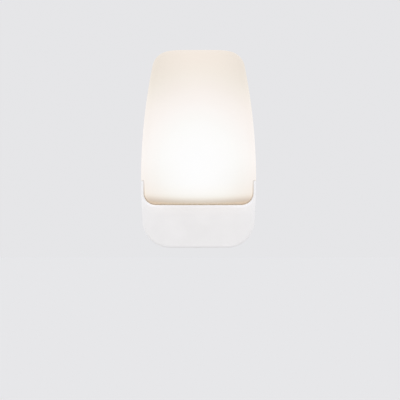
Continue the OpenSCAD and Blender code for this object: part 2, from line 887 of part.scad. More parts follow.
lamp_lead_x = 2.6;
module lamp_lead(x) {
  z_foot = z_lamp - lamp_board_h / 2;
  lead([
    [x, -board_back, lead_z], [x, 1.6 - board_back, lead_z], [x, -rim_depth - 0.7, z_sill - 2],
    [x, 2.4 - rim_depth, z_sill + 1], [x, 2.2 - lamp_board_back, z_foot],
    [x, 1.9 - lamp_board_back, z_foot + 1.6], [x, 0.8 - lamp_board_back, z_foot + 3],
    [x, -lamp_board_back, z_foot + 3]
  ], lead_d);
}
module lamp_lead_red() { color("red") lamp_lead(lamp_lead_x); }
module lamp_lead_black() { color("black") lamp_lead(-lamp_lead_x); }

rear_housing();
front_cover();
shade();
blade_neutral();
blade_hot();
blade_retainer();
retainer_screws();
housing_screws();
insulating_sheet();
driver_board();
board_screws();
film_capacitor();
smoothing_capacitor();
bridge_rectifier();
varistor();
fusible_resistor();
driver_chip();
chip_resistors();
sensor_lens();
sensor_shroud();
light_cell();
neutral_lead();
hot_lead();
lamp_lead_red();
lamp_lead_black();
lamp_board();
lamp_board_screws();
lamp_chips();
reflector();
reflector_screws();
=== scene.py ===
"""A plug-in night light: an opal shade standing out of a low white base, with two blades behind.

Every size is in millimetres until a piece is finished. +X is to the right of a person facing the
light, +Y points into the wall and +Z is up. A depth is measured from the back face to the room.
"""
import math

import bmesh
import bpy
from mathutils import Matrix, Vector


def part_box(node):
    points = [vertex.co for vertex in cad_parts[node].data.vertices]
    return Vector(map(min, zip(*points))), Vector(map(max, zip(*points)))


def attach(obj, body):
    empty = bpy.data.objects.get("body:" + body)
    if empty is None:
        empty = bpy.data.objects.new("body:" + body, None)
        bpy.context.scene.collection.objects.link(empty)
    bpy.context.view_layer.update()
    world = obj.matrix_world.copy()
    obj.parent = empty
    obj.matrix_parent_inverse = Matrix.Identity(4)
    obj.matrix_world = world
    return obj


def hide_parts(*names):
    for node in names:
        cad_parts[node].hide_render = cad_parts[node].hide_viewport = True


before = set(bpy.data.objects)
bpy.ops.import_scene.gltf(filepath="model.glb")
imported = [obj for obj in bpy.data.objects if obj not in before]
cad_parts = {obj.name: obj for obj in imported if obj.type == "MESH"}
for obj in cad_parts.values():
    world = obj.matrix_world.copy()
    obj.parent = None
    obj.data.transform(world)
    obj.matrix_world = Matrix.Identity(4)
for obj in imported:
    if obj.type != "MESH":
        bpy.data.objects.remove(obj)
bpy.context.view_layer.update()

MM = 0.001
TINY = 0.001  # a length that counts as none
MERGE_WITHIN = 0.1 * TINY


def box_mm(node):
    """Lowest and highest corner of a node, in millimetres."""
    low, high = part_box(node)
    return low / MM, high / MM


def spans(node):
    """A node's ranges of x, z and depth, in millimetres."""
    low, high = box_mm(node)
    return (low.x, high.x), (low.z, high.z), (-high.y, -low.y)


def centre_mm(node):
    low, high = box_mm(node)
    return (low + high) / 2


# ---- Sizes of the body ----

housing_low, housing_high = box_mm("rear_housing")
cover_low, cover_high = box_mm("front_cover")
shade_low = box_mm("shade")[0]

HALF_WIDTH = housing_high.x
Z_BOTTOM = housing_low.z
Z_TOP = housing_high.z
Z_WIDEST = Z_BOTTOM + 41.6
FLANK_R = 378
TOP_CORNER_R = 10.8
BOTTOM_CORNER_R = 17.7
RIM_DEPTH = -cover_high.y
FIT = 0.15  # gap round what drops in
SEAT = 0.05  # gap round what is held without play
PAST = 1  # how far a cut reaches past a face
PARTING_R = 0.25
ABOVE = Z_TOP + 20
SIDES = (-1, 1)

BASE_DEPTH = -cover_low.y
BASE_DRAFT = 0.9
BASE_EDGE_R = 1.5
BASE_WALL = 2.2
COVER_INSIDE = BASE_DEPTH - 1.8
Z_SILL = Z_BOTTOM + 27.4
Z_EAR = cover_high.z
EAR_W = 1.8
WINDOW_CORNER_R = 7.2
WINDOW_HALF = HALF_WIDTH - BASE_DRAFT - EAR_W
WINDOW_CORNER = Vector((WINDOW_HALF - WINDOW_CORNER_R, 0, Z_SILL + WINDOW_CORNER_R))
WINDOW_EDGE_R = 0.4
BOTTOM_STEPS = 14
FLANK_STEPS = 18
TOP_STEPS = 12
WINDOW_STEPS = 12

lamp_low, lamp_high = box_mm("lamp_board")
LAMP_Z = (lamp_low.z + lamp_high.z) / 2

SHADE_DEPTH = 36
SHADE_TOP_R = 4.5
SHADE_WALL = 1.8
HEEL_H = 8.5
LEDGE = 0.4
SQUARENESS = 5
Z_BELLY = Z_BOTTOM + 48
BELLY_SAG = SHADE_DEPTH - 27
BELLY_R = ((Z_TOP - Z_BELLY) ** 2 + BELLY_SAG ** 2) / (2 * BELLY_SAG)
CREASE_SHARE = 0.333
FRONT_SHARE = 0.72
SHADE_COLUMNS = 100
OFF_MIDDLE = 1  # open edges nearer to the middle than this belong to the foot and the head
NECK_ROWS = 4
FLANK_ROWS = 30
TOP_ROWS = 24

BACK_WALL = 2
SHROUD_WALL = 0.9
BACK_EDGE_R = 0.8
RIM_WALL = 1.9
LIP_WALL = 1.2
LIP_DEPTH = RIM_DEPTH + 3


def corner_centre(z, r):
    """Centre of a corner circle that touches the long curve of the side."""
    across = math.sqrt((FLANK_R - r) ** 2 - (z - Z_WIDEST) ** 2)
    return Vector((FLANK.x + across, 0, z))


def angle_from_flank(corner):
    """Angle at which the long curve of the side meets a corner circle."""
    return math.atan2(corner.z - FLANK.z, corner.x - FLANK.x)


FLANK = Vector((HALF_WIDTH - FLANK_R, 0, Z_WIDEST))
TOP_CORNER = corner_centre(Z_TOP - TOP_CORNER_R, TOP_CORNER_R)
BOTTOM_CORNER = corner_centre(Z_BOTTOM + BOTTOM_CORNER_R, BOTTOM_CORNER_R)
TOP_ANGLE = angle_from_flank(TOP_CORNER)
BOTTOM_ANGLE = angle_from_flank(BOTTOM_CORNER)
QUARTER = math.pi / 2


def spread(start, end, steps):
    """Evenly spaced values from start to end, both included."""
    return [start + (end - start) * i / steps for i in range(steps + 1)]


def around(middle, half):
    """Range that reaches half its length to each side of a middle."""
    return middle - half, middle + half


# ---- Drawing with a point that is led through the front view ----


def start_at(bm, x, depth, z):
    """First point of a drawing."""
    return bmesh.ops.create_vert(bm, co=(x, -depth, z))["vert"][0]


def line_to(bm, point, x, z):
    """Straight line at the same depth, and the point at its end."""
    drawn = bmesh.ops.extrude_vert_indiv(bm, verts=[point])["verts"][0]
    drawn.co = (x, point.co.y, z)
    return drawn


def arc_to(bm, point, centre, angle, steps):
    """Arc round a centre, and the point at its end."""
    swept = bmesh.ops.spin(bm, geom=[point], cent=centre, axis=(0, -1, 0), angle=angle, steps=steps)
    return next(item for item in swept["geom_last"] if isinstance(item, bmesh.types.BMVert))


def half_body(bm, inset, depth):
    """Right half of the body's outline, drawn from the bottom to the top."""
    point = start_at(bm, 0, depth, Z_BOTTOM + inset)
    point = line_to(bm, point, BOTTOM_CORNER.x, Z_BOTTOM + inset)
    point = arc_to(bm, point, BOTTOM_CORNER, BOTTOM_ANGLE + QUARTER, BOTTOM_STEPS)
    point = arc_to(bm, point, FLANK, TOP_ANGLE - BOTTOM_ANGLE, FLANK_STEPS)
    point = arc_to(bm, point, TOP_CORNER, QUARTER - TOP_ANGLE, TOP_STEPS)
    line_to(bm, point, 0, Z_TOP - inset)


def half_window(bm, gap, depth):
    """Right half of the window that the shade's foot stands in, open above the ears."""
    side = WINDOW_HALF - gap
    shoulder = Z_EAR + gap
    point = start_at(bm, 0, depth, Z_SILL + gap)
    point = line_to(bm, point, WINDOW_CORNER.x, Z_SILL + gap)
    point = arc_to(bm, point, WINDOW_CORNER, QUARTER, WINDOW_STEPS)
    point = line_to(bm, point, side, shoulder)
    point = line_to(bm, point, 2 * HALF_WIDTH, shoulder)
    point = line_to(bm, point, 2 * HALF_WIDTH, ABOVE)
    line_to(bm, point, 0, ABOVE)


# ---- Shaping ----


def close_end(bm, loop):
    """Closes a row of edges, open at one place, with one face."""
    ends = [v for v in {v for e in loop for v in e.verts} if sum(e in loop for e in v.link_edges) == 1]
    closing = bmesh.ops.contextual_create(bm, geom=ends)["edges"]
    bmesh.ops.contextual_create(bm, geom=loop + closing)


def mirrored_loft(bm, half_loop, stations):
    """Solid through half loops drawn at (inset, depth) stations, mirrored to its whole width."""
    loops = []
    for inset, depth in stations:
        before = len(bm.edges)
        half_loop(bm, inset, depth)
        bm.edges.ensure_lookup_table()
        loops.append(bm.edges[before:])
    for near, far in zip(loops, loops[1:]):
        bmesh.ops.bridge_loops(bm, edges=near + far)
    close_end(bm, loops[0])
    close_end(bm, loops[-1])
    whole = bm.verts[:] + bm.edges[:] + bm.faces[:]
    bmesh.ops.mirror(bm, geom=whole, matrix=Matrix.Identity(4), merge_dist=TINY, axis="X")
    bmesh.ops.dissolve_limit(bm, angle_limit=math.radians(0.5), verts=bm.verts, edges=bm.edges)
    bmesh.ops.recalc_face_normals(bm, faces=bm.faces)


def rounding(r, steps, inset=0.0, depth=0.0, sign=1):
    """Stations of a quarter round that ends flat at a depth: sign 1 faces the room, -1 the wall."""
    return [
        (inset + r * (1 - math.cos(a)), depth - sign * r * (1 - math.sin(a)))
        for a in spread(0, QUARTER, steps)
    ]


TO_ROOM = Vector((0, -1, 0))
UP = Vector((0, 0, 1))
ACROSS = Vector((1, 0, 0))
CREASE_DEG = 32
BEVEL_SEGMENTS = 3


def turned(bm, centre, profile, along=TO_ROOM, steps=40):
    """Solid of revolution from (radius, distance) points, measured along a line from centre."""
    side = UP if along == ACROSS else ACROSS
    points = [start_at(bm, 0, 0, 0) for _ in profile]
    for point, (radius, distance) in zip(points, profile):
        point.co = Vector(centre) + side * radius + along * distance
    edges = [bm.edges.new(pair) for pair in zip(points, points[1:])]
    bmesh.ops.spin(
        bm, geom=points + edges, cent=centre, axis=along, angle=2 * math.pi, steps=steps, use_merge=True
    )
    bmesh.ops.remove_doubles(bm, verts=bm.verts, dist=TINY)
    bmesh.ops.recalc_face_normals(bm, faces=bm.faces)


def rod(bm, centre, r, start, end, along=TO_ROOM):
    """Plain round between two distances along a line from centre."""
    turned(bm, centre, [(0, start), (r, start), (r, end), (0, end)], along)


def block(bm, x, z, depth, corner_r=0.0, segments=5):
    """Block between two values of x, z and depth, with its edges along the depth rounded."""
    size = Vector((x[1] - x[0], depth[1] - depth[0], z[1] - z[0]))
    middle = Vector((sum(x), -sum(depth), sum(z))) / 2
    place = Matrix.Translation(middle) @ Matrix.Diagonal((*size, 1))
    verts = bmesh.ops.create_cube(bm, size=1, matrix=place)["verts"]
    if corner_r:
        edges = {e for v in verts for e in v.link_edges if abs(e.verts[0].co.y - e.verts[1].co.y) > TINY}
        bmesh.ops.bevel(
            bm, geom=list(edges), offset=corner_r, segments=segments, profile=0.5,
            affect="EDGES", material=-1,
        )


def blocks_at(bm, places, half, *details):
    """Block at each (x, z) place, with its half sizes in x and z."""
    for x, z in places:
        block(bm, around(x, half[0]), around(z, half[1]), *details)


def pushed(bm, face, vec):
    """Extrudes a face along a vector and returns the face at its new end."""
    made = bmesh.ops.extrude_face_region(bm, geom=[face, *face.edges, *face.verts])["geom"]
    moved = [item for item in made if isinstance(item, bmesh.types.BMVert)]
    bmesh.ops.translate(bm, vec=vec, verts=moved)
    return next(item for item in made if isinstance(item, bmesh.types.BMFace))


def stamped(bm, x, width, outline):
    """Flat stamping with an outline of (depth, z) points, from x over its width."""
    points = [start_at(bm, x, depth, z) for depth, z in outline]
    edges = [bm.edges.new(pair) for pair in zip(points, points[1:] + points[:1])]
    pushed(bm, bmesh.ops.contextual_create(bm, geom=edges)["faces"][0], (width, 0, 0))
    bmesh.ops.recalc_face_normals(bm, faces=bm.faces)


def make_object(name, bm):
    """New object from a finished drawing."""
    mesh = bpy.data.meshes.new(name)
    bm.to_mesh(mesh)
    bm.free()
    obj = bpy.data.objects.new(name, mesh)
    bpy.context.scene.collection.objects.link(obj)
    return obj


def solid(name, draw, *details):
    """New object from what a function draws."""
    bm = bmesh.new()
    draw(bm, *details)
    return make_object(name, bm)


def combine(obj, operation, draw, *details):
    """Draws a second solid and joins it to obj (UNION) or takes it away (DIFFERENCE)."""
    other = solid("tool", draw, *details)
    modifier = obj.modifiers.new("combine", "BOOLEAN")
    modifier.operation = operation
    modifier.solver = "EXACT"
    modifier.object = other
    evaluated = obj.evaluated_get(bpy.context.evaluated_depsgraph_get())
    result = bpy.data.meshes.new_from_object(evaluated)
    obj.modifiers.clear()
    obj.data = result
    bpy.data.objects.remove(other)


def finish_piece(obj, node, material, bevel=0.0):
    """Gives a piece its units, smooth shading, finish and place in the frame."""
    crease = math.radians(CREASE_DEG)
    bm = bmesh.new()
    bm.from_mesh(obj.data)
    bmesh.ops.remove_doubles(bm, verts=bm.verts, dist=MERGE_WITHIN)
    bmesh.ops.scale(bm, vec=(MM, MM, MM), verts=bm.verts)
    for face in bm.faces:
        face.smooth = True
    for edge in bm.edges:
        edge.smooth = edge.calc_face_angle(0) < crease
    bm.to_mesh(obj.data)
    bm.free()
    obj.data.materials.clear()
    obj.data.materials.append(material)
    if bevel:
        rounded = obj.modifiers.new("soft edges", "BEVEL")
        rounded.width = bevel * MM
        rounded.segments = BEVEL_SEGMENTS
        rounded.limit_method = "ANGLE"
        rounded.angle_limit = crease
    shading = obj.modifiers.new("even shading", "WEIGHTED_NORMAL")
    shading.keep_sharp = True
    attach(obj, "root")
    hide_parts(node)
    return obj


# ---- Node helpers for the finishes ----


def add(tree, kind, inputs=None, **settings):
    """New node; an input is given another node's output or a value."""
    made = tree.nodes.new(kind)
    for name, value in settings.items():
        setattr(made, name, value)
    for socket, value in (inputs or {}).items():
        if isinstance(value, bpy.types.NodeSocket):
            tree.links.new(value, made.inputs[socket])
        else:
            made.inputs[socket].default_value = value
    return made


def new_finish(name, **values):
    """Material with one Principled shader, whose sockets take the values given."""
    material = bpy.data.materials.new(name)
    material.use_nodes = True
    tree = material.node_tree
    shader = tree.nodes["Principled BSDF"]
    for socket, value in values.items():
        shader.inputs[socket.replace("_", " ")].default_value = value
    return material, tree, shader


def position(tree):
    """Place on the surface, in metres."""
    return add(tree, "ShaderNodeTexCoord").outputs["Object"]


def axis_value(tree, axis):
    """One coordinate of the surface, in metres."""
    return add(tree, "ShaderNodeSeparateXYZ", {"Vector": position(tree)}).outputs[axis]


def grain(tree, size, detail=2.0, stretch=(1, 1, 1)):
    """Noise with lumps of about a size in millimetres."""
    mapped = add(tree, "ShaderNodeMapping", {"Vector": position(tree), "Scale": stretch})
    noise = add(
        tree, "ShaderNodeTexNoise",
        {"Vector": mapped.outputs["Vector"], "Scale": 1 / (size * MM), "Detail": detail},
    )
    return noise.outputs["Fac"]


def ranged(tree, value, low, high, start=0.3, end=0.7, smooth=False):
    """A value between low and high as the input goes from start to end."""
    kind = "SMOOTHSTEP" if smooth else "LINEAR"
    node = add(
        tree, "ShaderNodeMapRange",
        {"Value": value, "From Min": start, "From Max": end, "To Min": low, "To Max": high},
        interpolation_type=kind,
    )
    return node.outputs["Result"]


def ramp(tree, value, stops, interpolation="LINEAR"):
    """Colour that runs through (place, colour) stops."""
    node = add(tree, "ShaderNodeValToRGB", {"Fac": value})
    node.color_ramp.interpolation = interpolation
    elements = node.color_ramp.elements
    while len(elements) < len(stops):
        elements.new(1.0)
    for element, (place, colour) in zip(elements, stops):
        element.position = place
        element.color = (*colour, 1)
    return node.outputs["Color"]


def mottled(tree, pattern, dark, light, start=0.3, end=0.7):
    """Colour that goes from dark to light with a pattern."""
    return ramp(tree, pattern, [(start, dark), (end, light)])


def math_of(tree, operation, first, second):
    return add(tree, "ShaderNodeMath", {0: first, 1: second}, operation=operation).outputs["Value"]


def mixed(tree, share, first, second):
    """The first colour where the share is 0 and the second where it is 1."""
    node = add(tree, "ShaderNodeMix", {0: share}, data_type="RGBA")
    for socket, colour in ((node.inputs[6], first), (node.inputs[7], second)):
        if isinstance(colour, bpy.types.NodeSocket):
            tree.links.new(colour, socket)
        else:
            socket.default_value = (*colour, 1)
    return node.outputs[2]


def off_axis(tree, axis, place):
    """Distance from a plane across an axis, in metres, on either side of it."""
    moved = math_of(tree, "SUBTRACT", axis_value(tree, axis), place * MM)
    return math_of(tree, "ABSOLUTE", moved, 0.0)


def relief(tree, shader, height, rise):
    """Surface relief of a rise in millimetres."""
    bump = add(tree, "ShaderNodeBump", {"Height": height, "Strength": 1.0, "Distance": rise * MM})
    tree.links.new(bump.outputs["Normal"], shader.inputs["Normal"])


def feed(tree, shader, **sources):
    """Links outputs to the shader's sockets."""
    for socket, source in sources.items():
        tree.links.new(source, shader.inputs[socket.replace("_", " ")])


# ---- Finishes ----


def skin(tree, shader, colour, gloss, rough, bumps, rise):
    """Colour, roughness that runs between two values with a pattern, and the relief of another."""
    feed(tree, shader, Base_Color=colour, Roughness=ranged(tree, gloss, *rough))
    relief(tree, shader, bumps, rise)


def grained(name, colours, lumps, gloss, rough, bumps, rise, **values):
    """Finish whose colour, roughness and relief follow the grains lumps, gloss and bumps."""
    material, tree, shader = new_finish(name, **values)
    colour = mottled(tree, grain(tree, *lumps), *colours)
    skin(tree, shader, colour, grain(tree, *gloss), rough, grain(tree, *bumps), rise)
    return material


def moulded_plastic(name, dark, light, roughness=0.56, spark=0.35, rise=0.006):
    """Moulding with the fine grain of a spark-eroded tool and a faint unevenness of colour."""
    return grained(
        name, (dark, light, 0.35, 0.65), (14,), (3, 4), around(roughness, 0.06), (spark, 3), rise,
        IOR=1.5, Specular_IOR_Level=0.35,
    )


SHELL = ((0.850, 0.837, 0.844), (0.874, 0.861, 0.868))
GLOW_REACH = 80
CREAM = (0.37, 0.34, 0.31)
PALE_CREAM = tuple(1.02 * c for c in CREAM)
GLOW = [
    (0.05, (0.616, 0.643, 0.672)),
    (0.20, (0.614, 0.638, 0.660)),
    (0.33, (0.599, 0.615, 0.625)),
    (0.46, (0.589, 0.574, 0.573)),
    (0.58, (0.560, 0.527, 0.509)),
    (0.70, (0.535, 0.497, 0.456)),
    (0.82, (0.528, 0.476, 0.428)),
]
GLOW_ACROSS = 1.1
CORNER_X = 27
TOP_CORNER_DIM = (0.86, 0.87, 0.85)
TOP_CORNER_Z = (66, 96)
LOW_CORNER_DIM = (0.95, 0.935, 0.91)
LOW_CORNER_Z = (40, 20)
# painted shade on the shade's sides and top, where its wall turns away from the front
TURNED_PAINTED_SHADE = (0.86, 0.87, 0.87)
TURNED_FACING = (0.25, 0.0)
FOOT_REACH = 14
FOOT_CURVE = 0.0016
# the glow fading towards the base; its first stops are painted shade of the heel and the gap at the seam
FOOT_FADE = [
    (0.0, (0.645, 0.485, 0.30)),
    (0.086, (0.62, 0.505, 0.385)),
    (0.18, (0.75, 0.66, 0.56)),
    (0.286, (0.92, 0.87, 0.79)),
    (0.393, (0.98, 0.955, 0.91)),
    (0.571, (0.995, 0.98, 0.955)),
    (0.93, (1.0, 1.0, 1.0)),
]
# painted light: glow from the shade spilled onto the base cover; the bluish stop at the edge is a painted
# highlight on the window's lip
SPILL_REACH = 14
SPILL_BEHIND = (1, 3)
EAR_SPILL = 0.45
EAR_SPILL_RISE = (1, 5)
PAINTED_SPILL = [
    (0.0, (0.15, 0.11, 0.05)),
    (0.06, (0.148, 0.172, 0.218)),
    (0.107, (0.107, 0.112, 0.127)),
    (0.17, (0.062, 0.062, 0.064)),
    (0.44, (0.018, 0.018, 0.020)),
    (0.98, (0.0, 0.0, 0.0)),
]
EDGE_LINE_W = 1.8
EDGE_LINE_RISE = 6
# painted shadow in the gap at the window's edge, then a painted highlight (above 1) just inside it
PAINTED_GAP_LINE = [
    (0.0, (0.68, 0.53, 0.38)),
    (0.25, (0.88, 0.83, 0.77)),
    (0.5, (1.07, 1.05, 1.0)),
    (0.95, (1.0, 1.0, 1.0)),
]
# the glow is cut behind and below the ears, so the gap there shows painted shade
HIDDEN_BEHIND = (0.5, 2)
HIDDEN_BELOW = 0.5


def distance_in(tree, vector):
    return add(tree, "ShaderNodeVectorMath", {0: vector}, operation="LENGTH").outputs["Value"]


def vector_of(tree, operation, first, second):
    return add(tree, "ShaderNodeVectorMath", {0: first, 1: second}, operation=operation).outputs["Vector"]


def weighted(tree, vector, across):
    """Vector in the front plane with its x taken at a share, so that a pattern is wider than high."""
    shares = add(tree, "ShaderNodeCombineXYZ", {"X": across, "Z": 1.0}).outputs["Vector"]
    return vector_of(tree, "MULTIPLY", vector, shares)


def squared(tree, value):
    return math_of(tree, "MULTIPLY", value, value)


def lamp_glow(tree):
    """Light that weakens and warms away from the lamp board, most of all in the top corners."""
    centred = vector_of(tree, "SUBTRACT", position(tree), (0, 0, LAMP_Z * MM))
    across = weighted(tree, centred, GLOW_ACROSS)
    reach = ranged(tree, distance_in(tree, across), 0, 1, 0, GLOW_REACH * MM)
    glow = ramp(tree, reach, GLOW, "CARDINAL")
    aside = ranged(tree, squared(tree, off_axis(tree, "X", 0)), 0, 1, 0, (CORNER_X * MM) ** 2)
    for dimmed, (start, end) in ((TOP_CORNER_DIM, TOP_CORNER_Z), (LOW_CORNER_DIM, LOW_CORNER_Z)):
        height = ranged(tree, axis_value(tree, "Z"), 0, 1, start * MM, end * MM, smooth=True)
        cornered = math_of(tree, "MULTIPLY", aside, height)
        glow = vector_of(tree, "MULTIPLY", glow, mixed(tree, cornered, (1, 1, 1), dimmed))
    return glow


def painted_turned_shade(tree):
    """Painted shade: the glow is dimmer where the shade's wall turns away from the front."""
    normal = add(tree, "ShaderNodeNewGeometry").outputs["Normal"]
    parts = add(tree, "ShaderNodeSeparateXYZ", {"Vector": normal})
    facing = math_of(tree, "ABSOLUTE", parts.outputs["Y"], 0.0)
    return mixed(tree, ranged(tree, facing, 0, 1, *TURNED_FACING), (1, 1, 1), TURNED_PAINTED_SHADE)


def foot_fade(tree):
    """Dimmer and warmer towards the foot, from a little higher up at the sides than in the middle: the glow
    fades there, and the darkest brown at the seam is painted shade of the heel and the gap.
    """
    raised = math_of(tree, "MULTIPLY", squared(tree, off_axis(tree, "X", 0)), FOOT_CURVE / MM)
    height = math_of(tree, "SUBTRACT", axis_value(tree, "Z"), raised)
    share = ranged(tree, height, 0, 1, Z_SILL * MM, (Z_SILL + FOOT_REACH) * MM)
    return ramp(tree, share, FOOT_FADE, "CARDINAL")


def inside_window(tree):
    """Distance inwards from the edge of the base's window, in metres, negative outside it."""
    across = math_of(tree, "SUBTRACT", off_axis(tree, "X", 0), WINDOW_CORNER.x * MM)
    down = math_of(tree, "SUBTRACT", WINDOW_CORNER.z * MM, axis_value(tree, "Z"))
    from_corner = add(tree, "ShaderNodeCombineXYZ", {"X": across, "Z": down}).outputs["Vector"]
    outward = distance_in(tree, vector_of(tree, "MAXIMUM", from_corner, (0, 0, 0)))
    return math_of(tree, "SUBTRACT", WINDOW_CORNER_R * MM, outward)


def painted_gap_line(tree):
    """Painted shadow: a thin dark line along the window's edge, with a painted highlight just inside it,
    which dies out up the ears.
    """
    line = ramp(tree, ranged(tree, inside_window(tree), 0, 1, 0, EDGE_LINE_W * MM), PAINTED_GAP_LINE)
    share = ranged(tree, axis_value(tree, "Z"), 1, 0, (Z_SILL + EDGE_LINE_RISE) * MM, Z_EAR * MM)
    return mixed(tree, share, (1, 1, 1), line)


def outside_base(tree):
    """1 where the shade stands clear of the base and 0 where the base hides it; the glow is cut there, so the
    gap beside the ears shows painted shade.
    """
    near, far = ((behind - BASE_DEPTH) * MM for behind in HIDDEN_BEHIND)
    return math_of(
        tree, "MAXIMUM",
        ranged(tree, axis_value(tree, "Y"), 1, 0, near, far),
        ranged(tree, axis_value(tree, "Z"), 0, 1, *around(Z_EAR * MM, HIDDEN_BELOW * MM)),
    )


def cover_plastic_painted_glow(name, dark, light):
    """The shell's moulding with painted light: an emission stands in for the shade's glow spilling onto the
    cover round the window, with a painted highlight on the window's lip.
    """
    material = moulded_plastic(name, dark, light)
    tree = material.node_tree
    near, far = ((behind - BASE_DEPTH) * MM for behind in SPILL_BEHIND)
    low, high = ((Z_SILL + rise) * MM for rise in EAR_SPILL_RISE)
    away = math_of(tree, "MULTIPLY", inside_window(tree), -1.0)
    facing = ranged(tree, axis_value(tree, "Y"), 1, 0, near, far)
    spill = ramp(tree, ranged(tree, away, 0, 1, 0, SPILL_REACH * MM), PAINTED_SPILL)
    below = ranged(tree, axis_value(tree, "Z"), 1, EAR_SPILL, low, high)
    shader = tree.nodes["Principled BSDF"]
    shader.inputs["Emission Strength"].default_value = 1.0
    lit = mixed(tree, math_of(tree, "MULTIPLY", facing, below), (0, 0, 0), spill)
    feed(tree, shader, Emission_Color=lit)
    return material


def opal_plastic():
    """Opal diffuser, lit from behind low in the middle and dimmer towards its foot and corners, with painted
    shade where its wall turns away, a painted shadow line and highlight along the base's window, and no glow
    where the base hides it.
    """
    material, tree, shader = new_finish(
        "opal diffuser", IOR=1.5, Specular_IOR_Level=0.2, Emission_Strength=1.0
    )
    lit = vector_of(tree, "MULTIPLY", lamp_glow(tree), foot_fade(tree))
    for share in (painted_gap_line(tree), painted_turned_shade(tree)):
        lit = vector_of(tree, "MULTIPLY", lit, share)
    shown = add(tree, "ShaderNodeVectorMath", {0: lit, "Scale": outside_base(tree)}, operation="SCALE")
    feed(tree, shader, Emission_Color=shown.outputs["Vector"])
    cream = mottled(tree, grain(tree, 18), CREAM, PALE_CREAM)
    skin(tree, shader, cream, grain(tree, 2.5, 3), (0.46, 0.56), grain(tree, 1.2, 2), 0.002)
    return material


def blade_plating():
    """Nickel plate over stamped brass, drawn lengthwise."""
    colours = (0.66, 0.62, 0.53), (0.78, 0.75, 0.68)
    draw_lines = (0.12, 4, (1, 0.04, 1))
    return grained(
        "blade plating", colours, (2.5, 3), draw_lines, (0.2, 0.42), draw_lines, 0.004,
        Metallic=1.0, IOR=1.5,
    )


def zinc_plating():
    """Bright zinc over steel, with fine turning marks and a slight straw tint."""
    colours = (0.6, 0.6, 0.58), (0.74, 0.74, 0.75)
    return grained(
        "zinc plating", colours, (1.5, 3), (0.3, 3), (0.25, 0.45), (0.2, 2), 0.003, Metallic=1.0, IOR=1.5
    )


def clear_acrylic():
    """Clear plastic, lightly frosted."""
    material, tree, shader = new_finish(
        "clear acrylic", Base_Color=(0.93, 0.96, 0.96, 1), IOR=1.49, Transmission_Weight=1.0
    )
    feed(tree, shader, Roughness=ranged(tree, grain(tree, 0.4, 3), 0.04, 0.14))
    relief(tree, shader, grain(tree, 0.5, 2), 0.002)
    return material


# ---- Rear housing ----

screws_high = box_mm("housing_screws")[1]
board_low, board_high = box_mm("driver_board")
lens_low, lens_high = box_mm("sensor_lens")

BOARD_FACE = -board_low.y
SCREW_HEAD_R = 2.5
SCREW_SHANK_R = 1.25
SCREW_POST_R = SCREW_HEAD_R + 1.3
SCREW_POST_DEPTH = 12
SCREW_X = screws_high.x - SCREW_HEAD_R
SCREW_HEAD_T = 1.8
SCREW_SEAT = -screws_high.y + SCREW_HEAD_T
SCREW_PILOT_END = SCREW_POST_DEPTH + 9
COVER_BOSS_R = SCREW_SHANK_R + 1.9
COVER_BOSS_ROOT = 0.5
SMALL_HEAD_R = 1.9
SMALL_HEAD_T = 1.4
FLAT_HEAD_T = 1.2
SMALL_SHANK_R = 0.95
SMALL_PILOT_R = 1
SMALL_POST_R = 2.4
LAMP_POST_R = 2.2
PIN_R = 0.9
PIN_RISE = 2.3
SHEET_BACK = -box_mm("insulating_sheet")[1].y
LAMP_BACK = -lamp_high.y
REFLECTOR_BACK = -box_mm("reflector")[1].y
PILOT_LEN = 6
REFLECTOR_POST = (SMALL_POST_R, REFLECTOR_BACK, SMALL_PILOT_R, REFLECTOR_BACK - PILOT_LEN)
BOARD_POST = (SMALL_POST_R, SHEET_BACK, SMALL_PILOT_R, SHEET_BACK - PILOT_LEN)
LENS_R = 2.9
LENS_Y = (lens_low.y + lens_high.y) / 2
LENS_CROWN = ((0, 0), (2.4, 0.02), (2.75, 0.08), (LENS_R, 0.3))
BOARD_POST_X = board_high.x - 3.4
BOARD_POST_Z = (board_low.z + 4.6, board_high.z - 4)
LAMP_POST_X = lamp_high.x - 3.5
REFLECTOR_SCREW_X = lamp_high.x + 8
REFLECTOR_TOP_SCREW_Z = Z_TOP - 16
LAMP_POST_Z = (lamp_low.z + 4, lamp_high.z - 4)
BLADE_X = 12.7 / 2
BLADE_T = 1.5
BLADE_SHOULDER = 1.2
NEUTRAL_HALF = box_mm("blade_neutral")[1].z - BLADE_SHOULDER
HOT_HALF = box_mm("blade_hot")[1].z - BLADE_SHOULDER
TAIL_HALF = 1.8
TIP_LEN = 1.6
TIP_IN = 1.2
BLADE_HOLE_Y = 11.9
BLADE_HOLE_R = 1.6
EYELET_IN = 1.5
EYELET_R = 0.6
RETAINER_SCREW_X = BLADE_X + 3.7
BOSS_HALF = (BLADE_X + 6.2, 7)
BOSS_DEPTH = BACK_WALL + 2.2
LABEL_HALF = (17, 11)
LABEL_Z = LAMP_Z + 28
LABEL_SINK = 0.3
LABEL_R = 3
HOOK_X = 10
HOOK_HALF = 2.5
HOOK_Z = Z_TOP - RIM_WALL - 0.2
HOOK_T = 1.3
HOOK_DEPTH = 3.4
HOOK_ROOT = RIM_DEPTH + 4
HOOK_ROOM = 0.4
HOOK_POCKET_H = 6
BARB_RISE = 1.2
BARB_T = 1.2
FLANGE_T = 1.7
FLANGE_HALF = WINDOW_CORNER.x - 5
POST_FOOT = BACK_WALL / 2
MOUTH_R = 0.3


def housing_shell(bm):
    """Shallow tray with a lip that the cover slips over."""
    lip = BASE_WALL + FIT
    mirrored_loft(bm, half_body, [
        *reversed(rounding(BACK_EDGE_R, 4, 0, 0, -1)),
        *rounding(PARTING_R, 2, 0, RIM_DEPTH),
        (RIM_WALL, RIM_DEPTH), (RIM_WALL, BACK_WALL), (lip, BACK_WALL), (lip, LIP_DEPTH),
        (lip + LIP_WALL, LIP_DEPTH), (lip + LIP_WALL, BACK_WALL),
    ])


